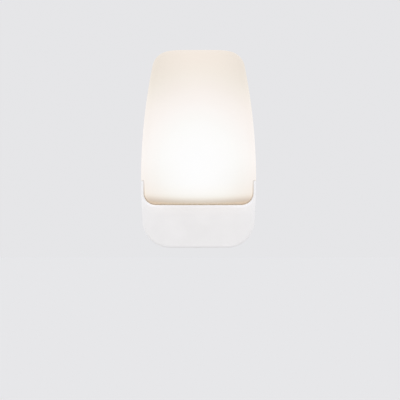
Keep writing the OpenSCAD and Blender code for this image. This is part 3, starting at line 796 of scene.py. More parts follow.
def post(bm, x, z, r, depth, hole_r=0.0, hole_floor=BACK_WALL):
    """Post that stands on the back wall, with a blind pilot hole if hole_r is given."""
    hole = [(hole_r, depth), (hole_r, hole_floor), (0, hole_floor)] if hole_r else [(0, depth)]
    turned(bm, (x, 0, z), [(0, POST_FOOT), (r, POST_FOOT), (r, depth), *hole])


def pin_post(bm, x, z, r, depth):
    """Post whose thin pin passes through a board."""
    tip = depth + PIN_RISE
    turned(bm, (x, 0, z), [
        (0, POST_FOOT), (r, POST_FOOT), (r, depth), (PIN_R, depth), (PIN_R, tip), (0, tip)
    ])


def housing_posts(bm):
    """Posts for the case, the reflector and the two boards, each board on two screws and two pins."""
    for side in SIDES:
        post(bm, side * SCREW_X, 0, SCREW_POST_R, SCREW_POST_DEPTH)
        post(bm, side * REFLECTOR_SCREW_X, LAMP_Z, *REFLECTOR_POST)
        screwed, pinned = (0, 1) if side < 0 else (1, 0)
        post(bm, side * BOARD_POST_X, BOARD_POST_Z[screwed], *BOARD_POST)
        pin_post(bm, side * BOARD_POST_X, BOARD_POST_Z[pinned], SMALL_POST_R, SHEET_BACK)
        post(bm, side * LAMP_POST_X, LAMP_POST_Z[screwed], LAMP_POST_R, LAMP_BACK, SMALL_PILOT_R)
        pin_post(bm, side * LAMP_POST_X, LAMP_POST_Z[pinned], LAMP_POST_R, LAMP_BACK)
    post(bm, 0, REFLECTOR_TOP_SCREW_Z, *REFLECTOR_POST)


def screw_recesses(bm):
    """Deep recesses from the back, each with a hole for the screw's shank in its floor."""
    r = SCREW_HEAD_R + FIT
    hole_r = SCREW_SHANK_R + FIT
    end = SCREW_POST_DEPTH + PAST
    for side in SIDES:
        turned(bm, (side * SCREW_X, 0, 0), [
            (0, -PAST), (r + MOUTH_R, -PAST), (r + MOUTH_R, 0), (r, MOUTH_R), (r, SCREW_SEAT),
            (hole_r, SCREW_SEAT), (hole_r, end), (0, end),
        ])


def blade_slots(bm, gap, shoulder, depth):
    """Slot for each blade or, with a shoulder, for its wider part."""
    for x, half in ((-BLADE_X, NEUTRAL_HALF), (BLADE_X, HOT_HALF)):
        block(bm, around(x, BLADE_T / 2 + gap), around(0, half + shoulder + gap), depth)


def at_hooks(bm, gap, z, depth):
    """Block at each of the two snap hooks, wider than a hook by a gap on each side."""
    for side in SIDES:
        block(bm, around(side * HOOK_X, HOOK_HALF + gap), z, depth)


def back_housing(finish):
    """Tray whose lip leaves room for the shade's narrow foot, its hooks and their barbs."""
    obj = solid("back_housing", housing_shell)
    combine(obj, "UNION", housing_posts)
    combine(obj, "UNION", blocks_at, [(0, 0)], BOSS_HALF, (POST_FOOT, BOSS_DEPTH))
    cuts = (
        (screw_recesses,),
        (blade_slots, SEAT, 0, (-PAST, BACK_WALL + PAST)),
        (blade_slots, FIT, BLADE_SHOULDER, (BACK_WALL, BOSS_DEPTH + PAST)),
        (blocks_at, [(0, LABEL_Z)], LABEL_HALF, (-PAST, LABEL_SINK), LABEL_R),
        (
            block, around(0, 2 * HALF_WIDTH), (Z_SILL - FIT, Z_EAR + SHADE_WALL + LEDGE + 2 * FIT),
            (RIM_DEPTH, LIP_DEPTH + PAST),
        ),
        (at_hooks, HOOK_ROOM, (Z_TOP - HOOK_POCKET_H, HOOK_Z + FIT), (BACK_WALL, LIP_DEPTH + PAST)),
        (
            at_hooks, FIT, (HOOK_Z - PAST, HOOK_Z + BARB_RISE + FIT),
            (HOOK_DEPTH - FIT, HOOK_DEPTH + BARB_T + FIT),
        ),
    )
    for cut in cuts:
        combine(obj, "DIFFERENCE", *cut)
    return finish_piece(obj, "rear_housing", finish)


# ---- Base cover ----


def cover_shell(bm):
    """Hollow shell with a rounded front edge, open at the back."""
    mirrored_loft(bm, half_body, [
        (BASE_WALL, COVER_INSIDE), (BASE_WALL, RIM_DEPTH),
        *reversed(rounding(PARTING_R, 2, 0, RIM_DEPTH, -1)),
        *rounding(BASE_EDGE_R, 8, BASE_DRAFT, BASE_DEPTH),
    ])


def cover_bosses(bm):
    """Bosses that meet the housing's posts, with pilot holes for the screws."""
    hole_r = SCREW_SHANK_R + SEAT
    root = COVER_INSIDE + COVER_BOSS_ROOT
    for side in SIDES:
        turned(bm, (side * SCREW_X, 0, 0), [
            (0, SCREW_PILOT_END), (hole_r, SCREW_PILOT_END), (hole_r, SCREW_POST_DEPTH),
            (COVER_BOSS_R, SCREW_POST_DEPTH), (COVER_BOSS_R, root), (0, root),
        ])


def window_opening(bm):
    """Prism of the window, flared at the front so that the window's edge comes out rounded."""
    flare = [(-inset, depth) for inset, depth in rounding(WINDOW_EDGE_R, 5, 0, BASE_DEPTH)]
    mirrored_loft(bm, half_window, [(0, RIM_DEPTH - PAST), *flare, (-WINDOW_EDGE_R, BASE_DEPTH + PAST)])


def sensor_hole(bm):
    """Hole in the underside, wider at its mouth."""
    r = LENS_R + SEAT
    below, above = Z_BOTTOM - PAST, Z_BOTTOM + BASE_WALL + PAST
    turned(bm, (0, LENS_Y, 0), [
        (0, below), (r + MOUTH_R, below), (r + MOUTH_R, lens_low.z), (r, lens_low.z + MOUTH_R),
        (r, above), (0, above),
    ], UP)


def base_cover(finish):
    obj = solid("base_cover", cover_shell)
    combine(obj, "UNION", cover_bosses)
    for draw in (window_opening, sensor_hole):
        combine(obj, "DIFFERENCE", draw)
    return finish_piece(obj, "front_cover", finish)


# ---- Shade ----


def on_circle(centre, r, z):
    """How far a circle reaches to the right at a height."""
    return centre.x + math.sqrt(max(0.0, r * r - (z - centre.z) ** 2))


def body_reach(z, inset):
    """How far the body's outline reaches from the middle at a height."""
    top_r = TOP_CORNER_R - inset
    bottom_r = BOTTOM_CORNER_R - inset
    if z > TOP_CORNER.z + top_r * math.sin(TOP_ANGLE):
        return on_circle(TOP_CORNER, top_r, z)
    if z < BOTTOM_CORNER.z + bottom_r * math.sin(BOTTOM_ANGLE):
        return on_circle(BOTTOM_CORNER, bottom_r, z)
    return on_circle(FLANK, FLANK_R - inset, z)


def quarter_ellipse(along, length, drop):
    """Drop of a quarter ellipse: none at its crown and the whole drop at its foot."""
    return drop * (1 - math.sqrt(max(0.0, 1 - min(along / length, 1) ** 2)))


def shade_front(z, inset):
    """Depth of the shade's front at a height: a long belly, a rounded top and a rounded heel."""
    crown = SHADE_DEPTH - inset - BELLY_R + math.sqrt(BELLY_R ** 2 - (z - Z_BELLY) ** 2)
    above = max(0.0, z - (Z_TOP - SHADE_TOP_R))
    below = max(0.0, Z_SILL + HEEL_H - z)
    top_r = SHADE_TOP_R - inset
    return (
        crown - quarter_ellipse(above, top_r, top_r)
        - quarter_ellipse(below, HEEL_H - inset, SHADE_DEPTH - BASE_DEPTH)
    )


def shade_rows(inset):
    """(height, half width allowed) of each row: foot in the window, step over the ears, flank, top."""
    gap = FIT + inset
    corner_r = WINDOW_CORNER_R - gap
    shoulder = Z_EAR + gap
    foot = [
        (WINDOW_CORNER.z - corner_r * math.cos(a), WINDOW_CORNER.x + corner_r * math.sin(a))
        for a in spread(0, QUARTER, WINDOW_STEPS)
    ]
    neck = [(z, WINDOW_HALF - gap) for z in spread(WINDOW_CORNER.z, shoulder, NECK_ROWS)[1:]]
    top_r = TOP_CORNER_R - inset
    flank_top = TOP_CORNER.z + top_r * math.sin(TOP_ANGLE)
    flank = [(z, HALF_WIDTH) for z in spread(shoulder + LEDGE, flank_top, FLANK_ROWS)]
    top = [
        (TOP_CORNER.z + top_r * math.sin(a), HALF_WIDTH) for a in spread(TOP_ANGLE, QUARTER, TOP_ROWS)[1:]
    ]
    return foot + neck + flank + top


def shade_point(z, limit, share, inset):
    """Point of a row at a share from -1 to 1, counted over its two sides and its front."""
    half = body_reach(z, inset)
    front = shade_front(z, inset)
    n = SQUARENESS
    held = min(limit, half * (1 - CREASE_SHARE) ** (1 / n))
    crease = math.atan2(front * (1 - (held / half) ** n) ** (1 / n), held)
    rim_x = min(limit, half * (1 - (RIM_DEPTH / front) ** n) ** (1 / n))
    rim = math.atan2(RIM_DEPTH, rim_x)
    along = abs(share)
    if along < FRONT_SHARE:
        angle = QUARTER + (crease - QUARTER) * along / FRONT_SHARE
    else:
        angle = crease + (rim - crease) * (along - FRONT_SHARE) / (1 - FRONT_SHARE)
    across = max(math.cos(angle), 1e-6)
    free = ((across / half) ** n + (math.sin(angle) / front) ** n) ** (-1 / n)
    r = min(free, limit / across)
    return Vector((math.copysign(r * across, share), -r * math.sin(angle), z))


def shade_skin(bm, inset):
    """One face of the shade's wall, with its foot and its top closed."""
    rows = shade_rows(inset)
    grid = bmesh.ops.create_grid(bm, x_segments=SHADE_COLUMNS, y_segments=len(rows) - 1, size=1)["verts"]
    last = len(rows) - 1
    ends = {0: [], last: []}
    for vert in grid:
        share = vert.co.x
        row = round((vert.co.y + 1) / 2 * last)
        vert.co = shade_point(*rows[row], share, inset)
        if row in ends:
            ends[row].append(vert)
    for verts in ends.values():
        close_end(bm, [e for e in {e for v in verts for e in v.link_edges} if set(e.verts) <= set(verts)])


def shade_shell(bm):
    """Two skins, joined along their open edges."""
    shade_skin(bm, 0)
    shade_skin(bm, SHADE_WALL)
    parts = {"left": [], "right": [], "foot": [], "head": []}
    for edge in bm.edges:
        middle = (edge.verts[0].co + edge.verts[1].co) / 2
        if edge.is_boundary and abs(middle.x) > OFF_MIDDLE:
            parts["left" if middle.x < 0 else "right"].append(edge)
        elif edge.is_boundary:
            parts["foot" if middle.z < Z_BELLY else "head"].append(edge)
    for edges in parts.values():
        bmesh.ops.bridge_loops(bm, edges=edges)
    bmesh.ops.recalc_face_normals(bm, faces=bm.faces)


def opal_shade(finish):
    """Shade with barbed hooks at its top and a flange under its foot, held behind the base cover."""
    obj = solid("opal_shade", shade_shell)
    hooks = (
        (HOOK_Z, (HOOK_DEPTH, HOOK_ROOT)),
        (Z_TOP - SHADE_WALL / 2, (RIM_DEPTH, HOOK_ROOT)),
        (HOOK_Z + BARB_RISE, (HOOK_DEPTH, HOOK_DEPTH + BARB_T)),
    )
    for top, depth in hooks:
        combine(obj, "UNION", at_hooks, 0, (HOOK_Z - HOOK_T, top), depth)
    z, front = (shade_low.z, Z_SILL + SHADE_WALL / 2), COVER_INSIDE - FIT
    combine(obj, "UNION", block, around(0, FLANGE_HALF), z, (front - FLANGE_T, front))
    return finish_piece(obj, "shade", finish, 0.25)


# ---- Blades ----


def blade(name, node, x, half, finish):
    """Stamped blade with a tapered tip, a hole, shoulders and a narrow tail with a lead's eyelet."""
    low, high = box_mm(node)
    tail, tip = -low.y, high.y
    upper = [
        (tail, TAIL_HALF), (BOSS_DEPTH - SEAT, TAIL_HALF), (BOSS_DEPTH - SEAT, half + BLADE_SHOULDER),
        (BACK_WALL + SEAT, half + BLADE_SHOULDER), (BACK_WALL + SEAT, half), (TIP_LEN - tip, half),
        (-tip, half - TIP_IN),
    ]
    outline = upper + [(depth, -z) for depth, z in reversed(upper)]
    obj = solid(name, stamped, x - BLADE_T / 2, BLADE_T, outline)
    for y, r in ((BLADE_HOLE_Y, BLADE_HOLE_R), (EYELET_IN - tail, EYELET_R)):
        combine(obj, "DIFFERENCE", rod, (x, y, 0), r, -BLADE_T, BLADE_T, ACROSS)
    return finish_piece(obj, node, finish, 0.22)


# ---- Screws and sensor window ----

DOME_SHARE = 0.6
THREAD_PITCH = 0.85
THREAD_ROOT = 0.8
PLAIN_PITCHES = 2.4
POINT_LEN = 0.6
POINT_SHARE = 0.6
CROSS_LONG = 0.56
CROSS_SHORT = 0.13
CROSS_DEPTH = 0.55
SMALL_ROUND = 32
LARGE_ROUND = 48


def screw(bm, x, z, seat, head_r, head_t, shank_r, length, along):
    """Pan-head screw with a grooved shank that points along a line from its seat."""
    dome_t = DOME_SHARE * head_t
    dome = [(head_r * math.sin(a), dome_t * (1 - math.cos(a)) - head_t) for a in spread(0, QUARTER, 6)]
    pitch = THREAD_PITCH * shank_r
    root_r = THREAD_ROOT * shank_r
    grooves = [
        point for i in range(int(length / pitch - PLAIN_PITCHES))
        for point in ((shank_r, shank_r + i * pitch), (root_r, shank_r + (i + 0.5) * pitch))
    ]
    turned(bm, (x, -seat, z), [
        *dome, (head_r, 0), (shank_r, 0), *grooves, (shank_r, length - POINT_LEN),
        (POINT_SHARE * shank_r, length), (0, length),
    ], along, SMALL_ROUND)


def cut_crosses(obj, places, long, short, depth):
    """Cuts a cross into obj at each place."""
    for half in ((long, short), (short, long)):
        combine(obj, "DIFFERENCE", blocks_at, places, half, depth)


def screws(name, node, places, head_r, head_t, shank_r, way, finish):
    """A node's screws with cross recesses; way is 1 if driven to the room and -1 to the wall."""
    low, high = box_mm(node)
    crown, tip = (-high.y, -low.y) if way > 0 else (-low.y, -high.y)
    seat = crown + way * head_t
    bm = bmesh.new()
    for x, z in places:
        screw(bm, x, z, seat, head_r, head_t, shank_r, abs(tip - seat), way * TO_ROOM)
    obj = make_object(name, bm)
    recess = sorted((crown - way * PAST, crown + way * CROSS_DEPTH * head_t))
    cut_crosses(obj, places, CROSS_LONG * head_r, CROSS_SHORT * head_r, recess)
    return finish_piece(obj, node, finish)


def all_screws(finish):
    """The housing's screws are driven from the back and all others from the room."""
    case = (SCREW_HEAD_R, SCREW_HEAD_T, SCREW_SHANK_R, 1)
    small = (SMALL_HEAD_R, SMALL_HEAD_T, SMALL_SHANK_R, -1)
    flat = (SMALL_HEAD_R, FLAT_HEAD_T, SMALL_SHANK_R, -1)
    sets = (
        ("case_screws", "housing_screws", SCREW_X, (0, 0), [], case),
        ("plate_screws", "retainer_screws", RETAINER_SCREW_X, (0, 0), [], small),
        ("driver_screws", "board_screws", BOARD_POST_X, BOARD_POST_Z, [], small),
        (
            "mirror_screws", "reflector_screws", REFLECTOR_SCREW_X, (LAMP_Z, LAMP_Z),
            [(0, REFLECTOR_TOP_SCREW_Z)], small,
        ),
        ("lamp_screws", "lamp_board_screws", LAMP_POST_X, LAMP_POST_Z, [], flat),
    )
    for name, node, x, heights, more, size in sets:
        places = [(side * x, z) for side, z in zip(SIDES, heights)] + more
        screws(name, node, places, *size, finish)


def sensor_window(finish):
    """Clear window level with the base's underside, with a flange inside."""
    inside = Z_BOTTOM + BASE_WALL + SEAT
    crown = [(r, lens_low.z + rise) for r, rise in LENS_CROWN]
    profile = [
        *crown, (LENS_R, inside), (lens_high.x, inside), (lens_high.x, lens_high.z), (0, lens_high.z)
    ]
    obj = solid("sensor_window", turned, (0, LENS_Y, 0), profile, UP)
    return finish_piece(obj, "sensor_lens", finish)


# ---- Parts on the boards ----

BOX_CORNER_R = 0.8
BOX_FOOT_W = 1
BOX_FOOT_H = 0.6
CAN_ROUND = 64
CAN_RIM_R = 0.5
CAN_CRIMP = 0.35
CAN_CRIMP_H = 1.1
CAN_BARE_IN = 0.75
CAN_SINK = 0.15
VENT_END_IN = 1.7
VENT_HALF_W = 0.12
VENT_DEPTH = 0.35
CHIP_LIFT = 0.1
CHIP_TAPER = (0.94, 1, 0.93)
CHIP_LEG = 1.05
CHIP_LEG_W = 0.4
CHIP_LEG_T = 0.2
DIMPLE_IN = 0.8
DIMPLE_R = 0.3
DIMPLE_DEPTH = 0.1
DISC_EDGE_R = 1.2
DISC_LEG_X = 2.5
RESISTOR_HALF = 3.5
RESISTOR_LEAD_R = 0.3
END_CAP_W = 0.45
END_CAP_RISE = 0.04
FLAT_HALF = 0.8
LAMP_PITCH_X = 10
LAMP_PITCH_Z = 9
LAMP_PLACES = [
    (side * LAMP_PITCH_X / 2, LAMP_Z + row * LAMP_PITCH_Z) for side in SIDES for row in (-1, 0, 1)
]
LAMP_HALF = (1.6, 1.4)
LAMP_CORNER_R = 0.15
TERMINAL_HALF = (1.75, 1.1)
TERMINAL_T = 0.3
DISH_IN = 0.35
DISH_SLOPE = 0.2
DISH_DEPTH = 0.25


def film_box(finish):
    """Moulded box with round corners, on two feet."""
    x, z, depth = spans("film_capacitor")
    obj = solid("film_box", block, x, z, depth, BOX_CORNER_R)
    combine(
        obj, "DIFFERENCE", block, (x[0] + BOX_FOOT_W, x[1] - BOX_FOOT_W), (z[0] - PAST, z[1] + PAST),
        (depth[0] - PAST, depth[0] + BOX_FOOT_H),
    )
    return finish_piece(obj, "film_capacitor", finish, 0.3)


def can_capacitor(finish):
    """Can in a sleeve: a bung, a crimp round it, a rolled rim and a cross of grooves in the bare top."""
    (left, right), z, (face, top) = spans("smoothing_capacitor")
    r = (right - left) / 2
    place = ((left + right) / 2, sum(z) / 2)
    bung = [
        (0, face), (r - 1.2, face), (r - 1.1, face + 0.25), (r - 0.9, face + 0.05),
        (r - 0.4, face + 0.05), (r, face + 0.5),
    ]
    crimp = [
        (r - CAN_CRIMP * math.sin(a), face + CAN_CRIMP_H + CAN_CRIMP * a) for a in spread(0, math.pi, 10)
    ]
    rim = [(r - inset, depth) for inset, depth in rounding(CAN_RIM_R, 5, 0, top)]
    bare = [(r - CAN_BARE_IN, top), (r - CAN_BARE_IN - 0.05, top - CAN_SINK), (0, top - CAN_SINK)]
    profile = bung + crimp + rim + bare
    obj = solid("can_capacitor", turned, (place[0], 0, place[1]), profile, TO_ROOM, CAN_ROUND)
    cut_crosses(obj, [place], r - VENT_END_IN, VENT_HALF_W, (top - VENT_DEPTH, top + PAST))
    return finish_piece(obj, "smoothing_capacitor", finish)


def chip_legs(bm, middle, side, face, count, pitch):
    """Bent legs along the two long sides of a chip, with their feet on the board."""
    rise = -middle.y - face
    lower, upper = around(rise, CHIP_LEG_T / 2)
    bent = (
        (upper, -0.2), (upper, 0.3), (CHIP_LEG_T, 0.5), (CHIP_LEG_T, CHIP_LEG), (0, CHIP_LEG), (0, 0.38),
        (lower, 0.14), (lower, -0.2),
    )
    for way in SIDES:
        outline = [(face + height, middle.z + way * (side + out)) for height, out in bent]
        for i in range(count):
            x = middle.x + (i - (count - 1) / 2) * pitch
            stamped(bm, x - CHIP_LEG_W / 2, CHIP_LEG_W, outline)


def chip_body(bm, middle, x, z, depth):
    """Epoxy body that narrows from its parting line."""
    block(bm, x, z, depth)
    whole = bm.verts[:] + bm.edges[:] + bm.faces[:]
    bmesh.ops.bisect_plane(bm, geom=whole, plane_co=middle, plane_no=TO_ROOM)
    ends = [v for v in bm.verts if abs(v.co.y - middle.y) > TINY]
    bmesh.ops.scale(bm, vec=CHIP_TAPER, space=Matrix.Translation(-middle), verts=ends)


def chip(name, node, count, pitch, finish):
    """Body with a dimple at its first leg, and a number of legs on each long side."""
    low, high = box_mm(node)
    middle = (low + high) / 2
    face, top = -high.y, -low.y
    side = high.z - middle.z - CHIP_LEG
    z = around(middle.z, side)
    obj = solid(name, chip_body, middle, (low.x, high.x), z, (face + CHIP_LIFT, top))
    dimple = (low.x + DIMPLE_IN, 0, z[1] - DIMPLE_IN)
    combine(obj, "DIFFERENCE", rod, dimple, DIMPLE_R, top - DIMPLE_DEPTH, top + PAST)
    combine(obj, "UNION", chip_legs, middle, side, face, count, pitch)
    return finish_piece(obj, node, finish, 0.04)


def varistor_legs(bm, middle, face):
    """Tinned legs with the dipped coating run down round them."""
    for way in SIDES:
        turned(bm, (middle.x + way * DISC_LEG_X, 0, middle.z), [
            (0, face), (0.35, face), (0.35, face + 0.75), (0.5, face + 0.85), (0.75, face + 1.6),
            (0.85, face + 3), (0, face + 3),
        ], TO_ROOM, 20)


def disc_varistor(finish):
    """Dipped disc that stands across the board."""
    low, high = box_mm("varistor")
    middle = (low + high) / 2
    r, half_t = (high.x - low.x) / 2, (high.z - low.z) / 2
    rim = [
        (r - DISC_EDGE_R * (1 - math.cos(a)), half_t * math.sin(a)) for a in spread(-QUARTER, QUARTER, 12)
    ]
    profile = [(0, -half_t), *rim, (0, half_t)]
    obj = solid("disc_varistor", turned, (middle.x, low.y + r, middle.z), profile, UP, LARGE_ROUND)
    combine(obj, "UNION", varistor_legs, middle, -high.y)
    return finish_piece(obj, "varistor", finish)


def bent_wire(bm, start, way, straight, bend, r, face):
    """Wire that leaves upwards, or downwards if way is -1, and bends to the board's face."""
    place = Matrix.Translation(start)
    disc = bmesh.ops.create_circle(bm, cap_ends=True, segments=16, radius=r, matrix=place)["verts"]
    end = pushed(bm, disc[0].link_faces[0], UP * way * straight)
    pivot = start + UP * way * straight + Vector((0, bend, 0))
    swung = bmesh.ops.spin(
        bm, geom=[end, *end.edges, *end.verts], cent=pivot, axis=ACROSS, angle=-way * QUARTER, steps=8
    )["geom_last"]
    end = next(item for item in swung if isinstance(item, bmesh.types.BMFace))
    pushed(bm, end, (0, -face - pivot.y, 0))
    bmesh.ops.recalc_face_normals(bm, faces=bm.faces)


def resistor_leads(bm, centre, face):
    for way in SIDES:
        bent_wire(bm, centre + UP * way * (RESISTOR_HALF - 0.2), way, 0.35, 0.45, RESISTOR_LEAD_R, face)


def wired_resistor(finish):
    """Lacquered body that is thicker over its end caps."""
    (left, right), z, (face, front) = spans("fusible_resistor")
    r = (right - left) / 2
    centre = Vector(((left + right) / 2, r - front, sum(z) / 2))
    half = [
        (0.84 * r, 1.6), (0.9 * r, 1.85), (r, 2.2), (r, 3.0), (0.93 * r, 3.25), (0.75 * r, 3.43),
        (0.5 * r, RESISTOR_HALF), (0, RESISTOR_HALF),
    ]
    profile = [(radius, -z) for radius, z in reversed(half)] + half
    obj = solid("wired_resistor", turned, centre, profile, UP, SMALL_ROUND)
    combine(obj, "UNION", resistor_leads, centre, face)
    return finish_piece(obj, "fusible_resistor", finish)


def resistor_rows(bm, rows, x, half, depth):
    """Block in each row, over a range of x."""
    for z in rows:
        block(bm, x, around(z, half), depth)


def flat_resistors(finish):
    """Ceramic chips between slightly thicker end caps."""
    (left, right), (foot, head), (back, front) = spans("chip_resistors")
    rows = spread(foot + FLAT_HALF, head - FLAT_HALF, 2)
    depth = (back + END_CAP_RISE, front - END_CAP_RISE)
    x, half = (left + 0.2, right - 0.2), FLAT_HALF - END_CAP_RISE
    obj = solid("flat_resistors", resistor_rows, rows, x, half, depth)
    for x in ((left, left + END_CAP_W), (right - END_CAP_W, right)):
        combine(obj, "UNION", resistor_rows, rows, x, FLAT_HALF, (back, front))
    return finish_piece(obj, "chip_resistors", finish, 0.05)


def lamp_bodies(bm, depth):
    """White bodies, each with a sloping dish in its front."""
    blocks_at(bm, LAMP_PLACES, LAMP_HALF, depth, LAMP_CORNER_R, 2)
    fronts = [face for face in bm.faces if face.calc_center_median().y < TINY - depth[1]]
    bmesh.ops.inset_individual(bm, faces=fronts, thickness=DISH_IN)
    bmesh.ops.inset_individual(bm, faces=fronts, thickness=DISH_SLOPE, depth=-DISH_DEPTH)


def light_packages(finish):
    """Light chips with a terminal at each end."""
    depth = spans("lamp_chips")[2]
    obj = solid("light_packages", lamp_bodies, depth)
    combine(obj, "UNION", blocks_at, LAMP_PLACES, TERMINAL_HALF, (depth[0], depth[0] + TERMINAL_T))
    return finish_piece(obj, "lamp_chips", finish, 0.03)


# ---- Light cell, blade plate and leads ----

SHROUD_LIP = 0.25
CELL_T = 2
CELL_LEG_X = 1.3
CELL_LEG_R = 0.25
CELL_LEG_BEND = 0.5
PLATE_CORNER_R = 1.6
LEAD_ROUND = 4
LEAD_STEPS = 8
INSULATION = {
    "black_lead": ("black insulation", (0.015, 0.015, 0.016), (0.03, 0.03, 0.032)),
    "white_lead": ("white insulation", (0.78, 0.78, 0.75), (0.86, 0.86, 0.84)),
    "red_lead": ("red insulation", (0.46, 0.02, 0.015), (0.56, 0.03, 0.02)),
}


def light_shroud(finish):
    """Rubber tube with rounded lips."""
    low, high = box_mm("sensor_shroud")
    outer = (high.x - low.x) / 2
    inner, lip = outer - SHROUD_WALL, SHROUD_LIP
    profile = [
        (inner, low.z + lip), (inner + lip, low.z), (outer - lip, low.z), (outer, low.z + lip),
        (outer, high.z - lip), (outer - lip, high.z), (inner + lip, high.z), (inner, high.z - lip),
        (inner, low.z + lip),
    ]
    obj = solid("light_shroud", turned, (0, (low.y + high.y) / 2, 0), profile, UP)
    return finish_piece(obj, "sensor_shroud", finish)


def cell_legs(bm, centre, top, face):
    """Wires that leave the disc's back and bend to the board."""
    for side in SIDES:
        start = centre + ACROSS * side * CELL_LEG_X + UP * CELL_T / 2
        straight = top - CELL_LEG_R - CELL_LEG_BEND - start.z
        bent_wire(bm, start, 1, straight, CELL_LEG_BEND, CELL_LEG_R, face)


def light_cell(finish):
    """Ceramic disc with a soft rim, on two wires that bend to the board."""
    low, high = box_mm("light_cell")
    shroud_low, shroud_high = box_mm("sensor_shroud")
    r = (shroud_high.x - shroud_low.x) / 2 - SHROUD_WALL - SEAT
    centre = Vector((0, (shroud_low.y + shroud_high.y) / 2, low.z))
    profile = [
        (0, 0), (r - 0.2, 0), (r - 0.06, 0.06), (r, 0.2), (r, CELL_T - 0.3), (r - 0.1, CELL_T - 0.1),
        (r - 0.3, CELL_T), (0, CELL_T),
    ]
    obj = solid("coated_cell", turned, centre, profile, UP, LARGE_ROUND)
    combine(obj, "UNION", cell_legs, centre, high.z, BOARD_FACE)
    return finish_piece(obj, "light_cell", finish)


def plate_holes(bm):
    for side in SIDES:
        rod(bm, (side * RETAINER_SCREW_X, 0, 0), SMALL_SHANK_R + FIT, BACK_WALL, COVER_INSIDE)


def blade_plate(finish):
    """Moulded plate that traps the blades, with its edges broken."""
    obj = solid("blade_plate", block, *spans("blade_retainer"), PLATE_CORNER_R)
    slots, half = [(side * BLADE_X, 0) for side in SIDES], (BLADE_T / 2 + FIT, TAIL_HALF + FIT)
    combine(obj, "DIFFERENCE", blocks_at, slots, half, (BACK_WALL, COVER_INSIDE))
    combine(obj, "DIFFERENCE", plate_holes)
    return finish_piece(obj, "blade_retainer", finish, 0.25)


def lead_curve(name, points, r):
    """Curve of a round lead: straight at its ends and smooth in between."""
    curve = bpy.data.curves.new(name, "CURVE")
    curve.dimensions = "3D"
    curve.bevel_depth = r
    curve.bevel_resolution = LEAD_ROUND
    curve.resolution_u = LEAD_STEPS
    curve.use_fill_caps = True
    knots = curve.splines.new("BEZIER").bezier_points
    knots.add(len(points) - 1)
    last = len(points) - 1
    for i, knot in enumerate(knots):
        knot.co = points[i]
        before, after = points[max(i - 1, 0)], points[min(i + 1, last)]
        knot.handle_left = points[i] + (before - points[i]) / 3
        knot.handle_right = points[i] + (after - points[i]) / 3
        if 0 < i < last:
            pull = (points[min(i + 1, last - 1)] - points[max(i - 1, 1)]) / 6
            if i > 1:
                knot.handle_left = points[i] - pull
            if i < last - 1:
                knot.handle_right = points[i] + pull
    return curve


def lead(name, node, route, finish):
    """Round lead through the (depth, z) points of a route."""
    low, high = box_mm(node)
    points = [Vector(((low.x + high.x) / 2, -depth, z)) for depth, z in route]
    drawn = bpy.data.objects.new("route", lead_curve(name, points, (high.x - low.x) / 2))
    bpy.context.scene.collection.objects.link(drawn)
    evaluated = drawn.evaluated_get(bpy.context.evaluated_depsgraph_get())
    bm = bmesh.new()
    bm.from_mesh(evaluated.to_mesh())
    bpy.data.objects.remove(drawn)
    bmesh.ops.remove_doubles(bm, verts=bm.verts, dist=TINY)
    bmesh.ops.recalc_face_normals(bm, faces=bm.faces)
    return finish_piece(make_object(name, bm), node, finish)


def all_leads():
    """Two leads from the blades' tails to the board, and two from the board up to the lamp board."""
    board_back, tail = -board_high.y, -box_mm("blade_hot")[0].y
    z_board, z_foot = board_high.z - 2, lamp_low.z
    from_blade = [
        (tail - 2.2, -0.8), (tail - 2.2, 1.4), (tail - 1.7, z_board - 1.6), (board_back - 1.8, z_board - 0.4),
        (board_back - 0.8, z_board), (board_back, z_board),
    ]
    to_lamp = [
        (board_back, z_board), (board_back - 1.6, z_board), (RIM_DEPTH + 0.7, Z_SILL - 2),
        (RIM_DEPTH - 2.4, Z_SILL + 1), (LAMP_BACK - 2.2, z_foot), (LAMP_BACK - 1.9, z_foot + 1.6),
        (LAMP_BACK - 0.8, z_foot + 3), (LAMP_BACK, z_foot + 3),
    ]
    finishes = {slot: wire_insulation(*details) for slot, details in INSULATION.items()}
    for name, node, slot, route in (
        ("neutral_wire", "neutral_lead", "white_lead", from_blade),
        ("hot_wire", "hot_lead", "black_lead", from_blade),
        ("lamp_wire_red", "lamp_lead_red", "red_lead", to_lamp),
        ("lamp_wire_black", "lamp_lead_black", "black_lead", to_lamp),
    ):
        lead(name, node, route, finishes[slot])


# ---- Finishes of the parts inside ----

TIN = (0.62, 0.62, 0.6)
BRIGHT_TIN = tuple(1.15 * c for c in TIN)
FAR = 1  # how far a mask reaches past a part's end
SKIN = 0.03  # how far a mask stays inside a face
RESIST_T = 0.15
COPPER_GAP = 0.45
SOLDERED = 0.75
STRIPE_SHARE = 0.72
GLAZE_FROM = 0.55
TINNED_FROM = 1.2
TRACK_PITCH = 0.42
TRACK_GAP = 0.17
TRACK_SIDE = (1.75, 2)
TRACK_REACH = 1.85
STRIPPED_LEN = 0.5
LAND_HALF = (2.15, 1.1)
PHOSPHOR_HALF = (1.1, 0.9)


def between(tree, value, low, high):
    """1 where a length lies between two lengths in millimetres."""
    middle, half = (low + high) / 2 * MM, (high - low) / 2 * MM
    return add(tree, "ShaderNodeMath", {0: value, 1: middle, 2: half}, operation="COMPARE").outputs["Value"]


def outside(tree, value, low, high):
    return math_of(tree, "SUBTRACT", 1.0, between(tree, value, low, high))


def all_of(tree, first, *others):
    for other in others:
        first = math_of(tree, "MULTIPLY", first, other)
    return first


def any_of(tree, first, *others):
    for other in others:
        first = math_of(tree, "MAXIMUM", first, other)
    return first


def depth_of(tree):
    """Depth from the back face, in metres."""
    return math_of(tree, "MULTIPLY", axis_value(tree, "Y"), -1.0)


def round_spot(tree, x, z, r):
    """1 inside a circle in the front view."""
    centred = vector_of(tree, "SUBTRACT", position(tree), (x * MM, 0, z * MM))
    return between(tree, distance_in(tree, weighted(tree, centred, 1.0)), -r, r)


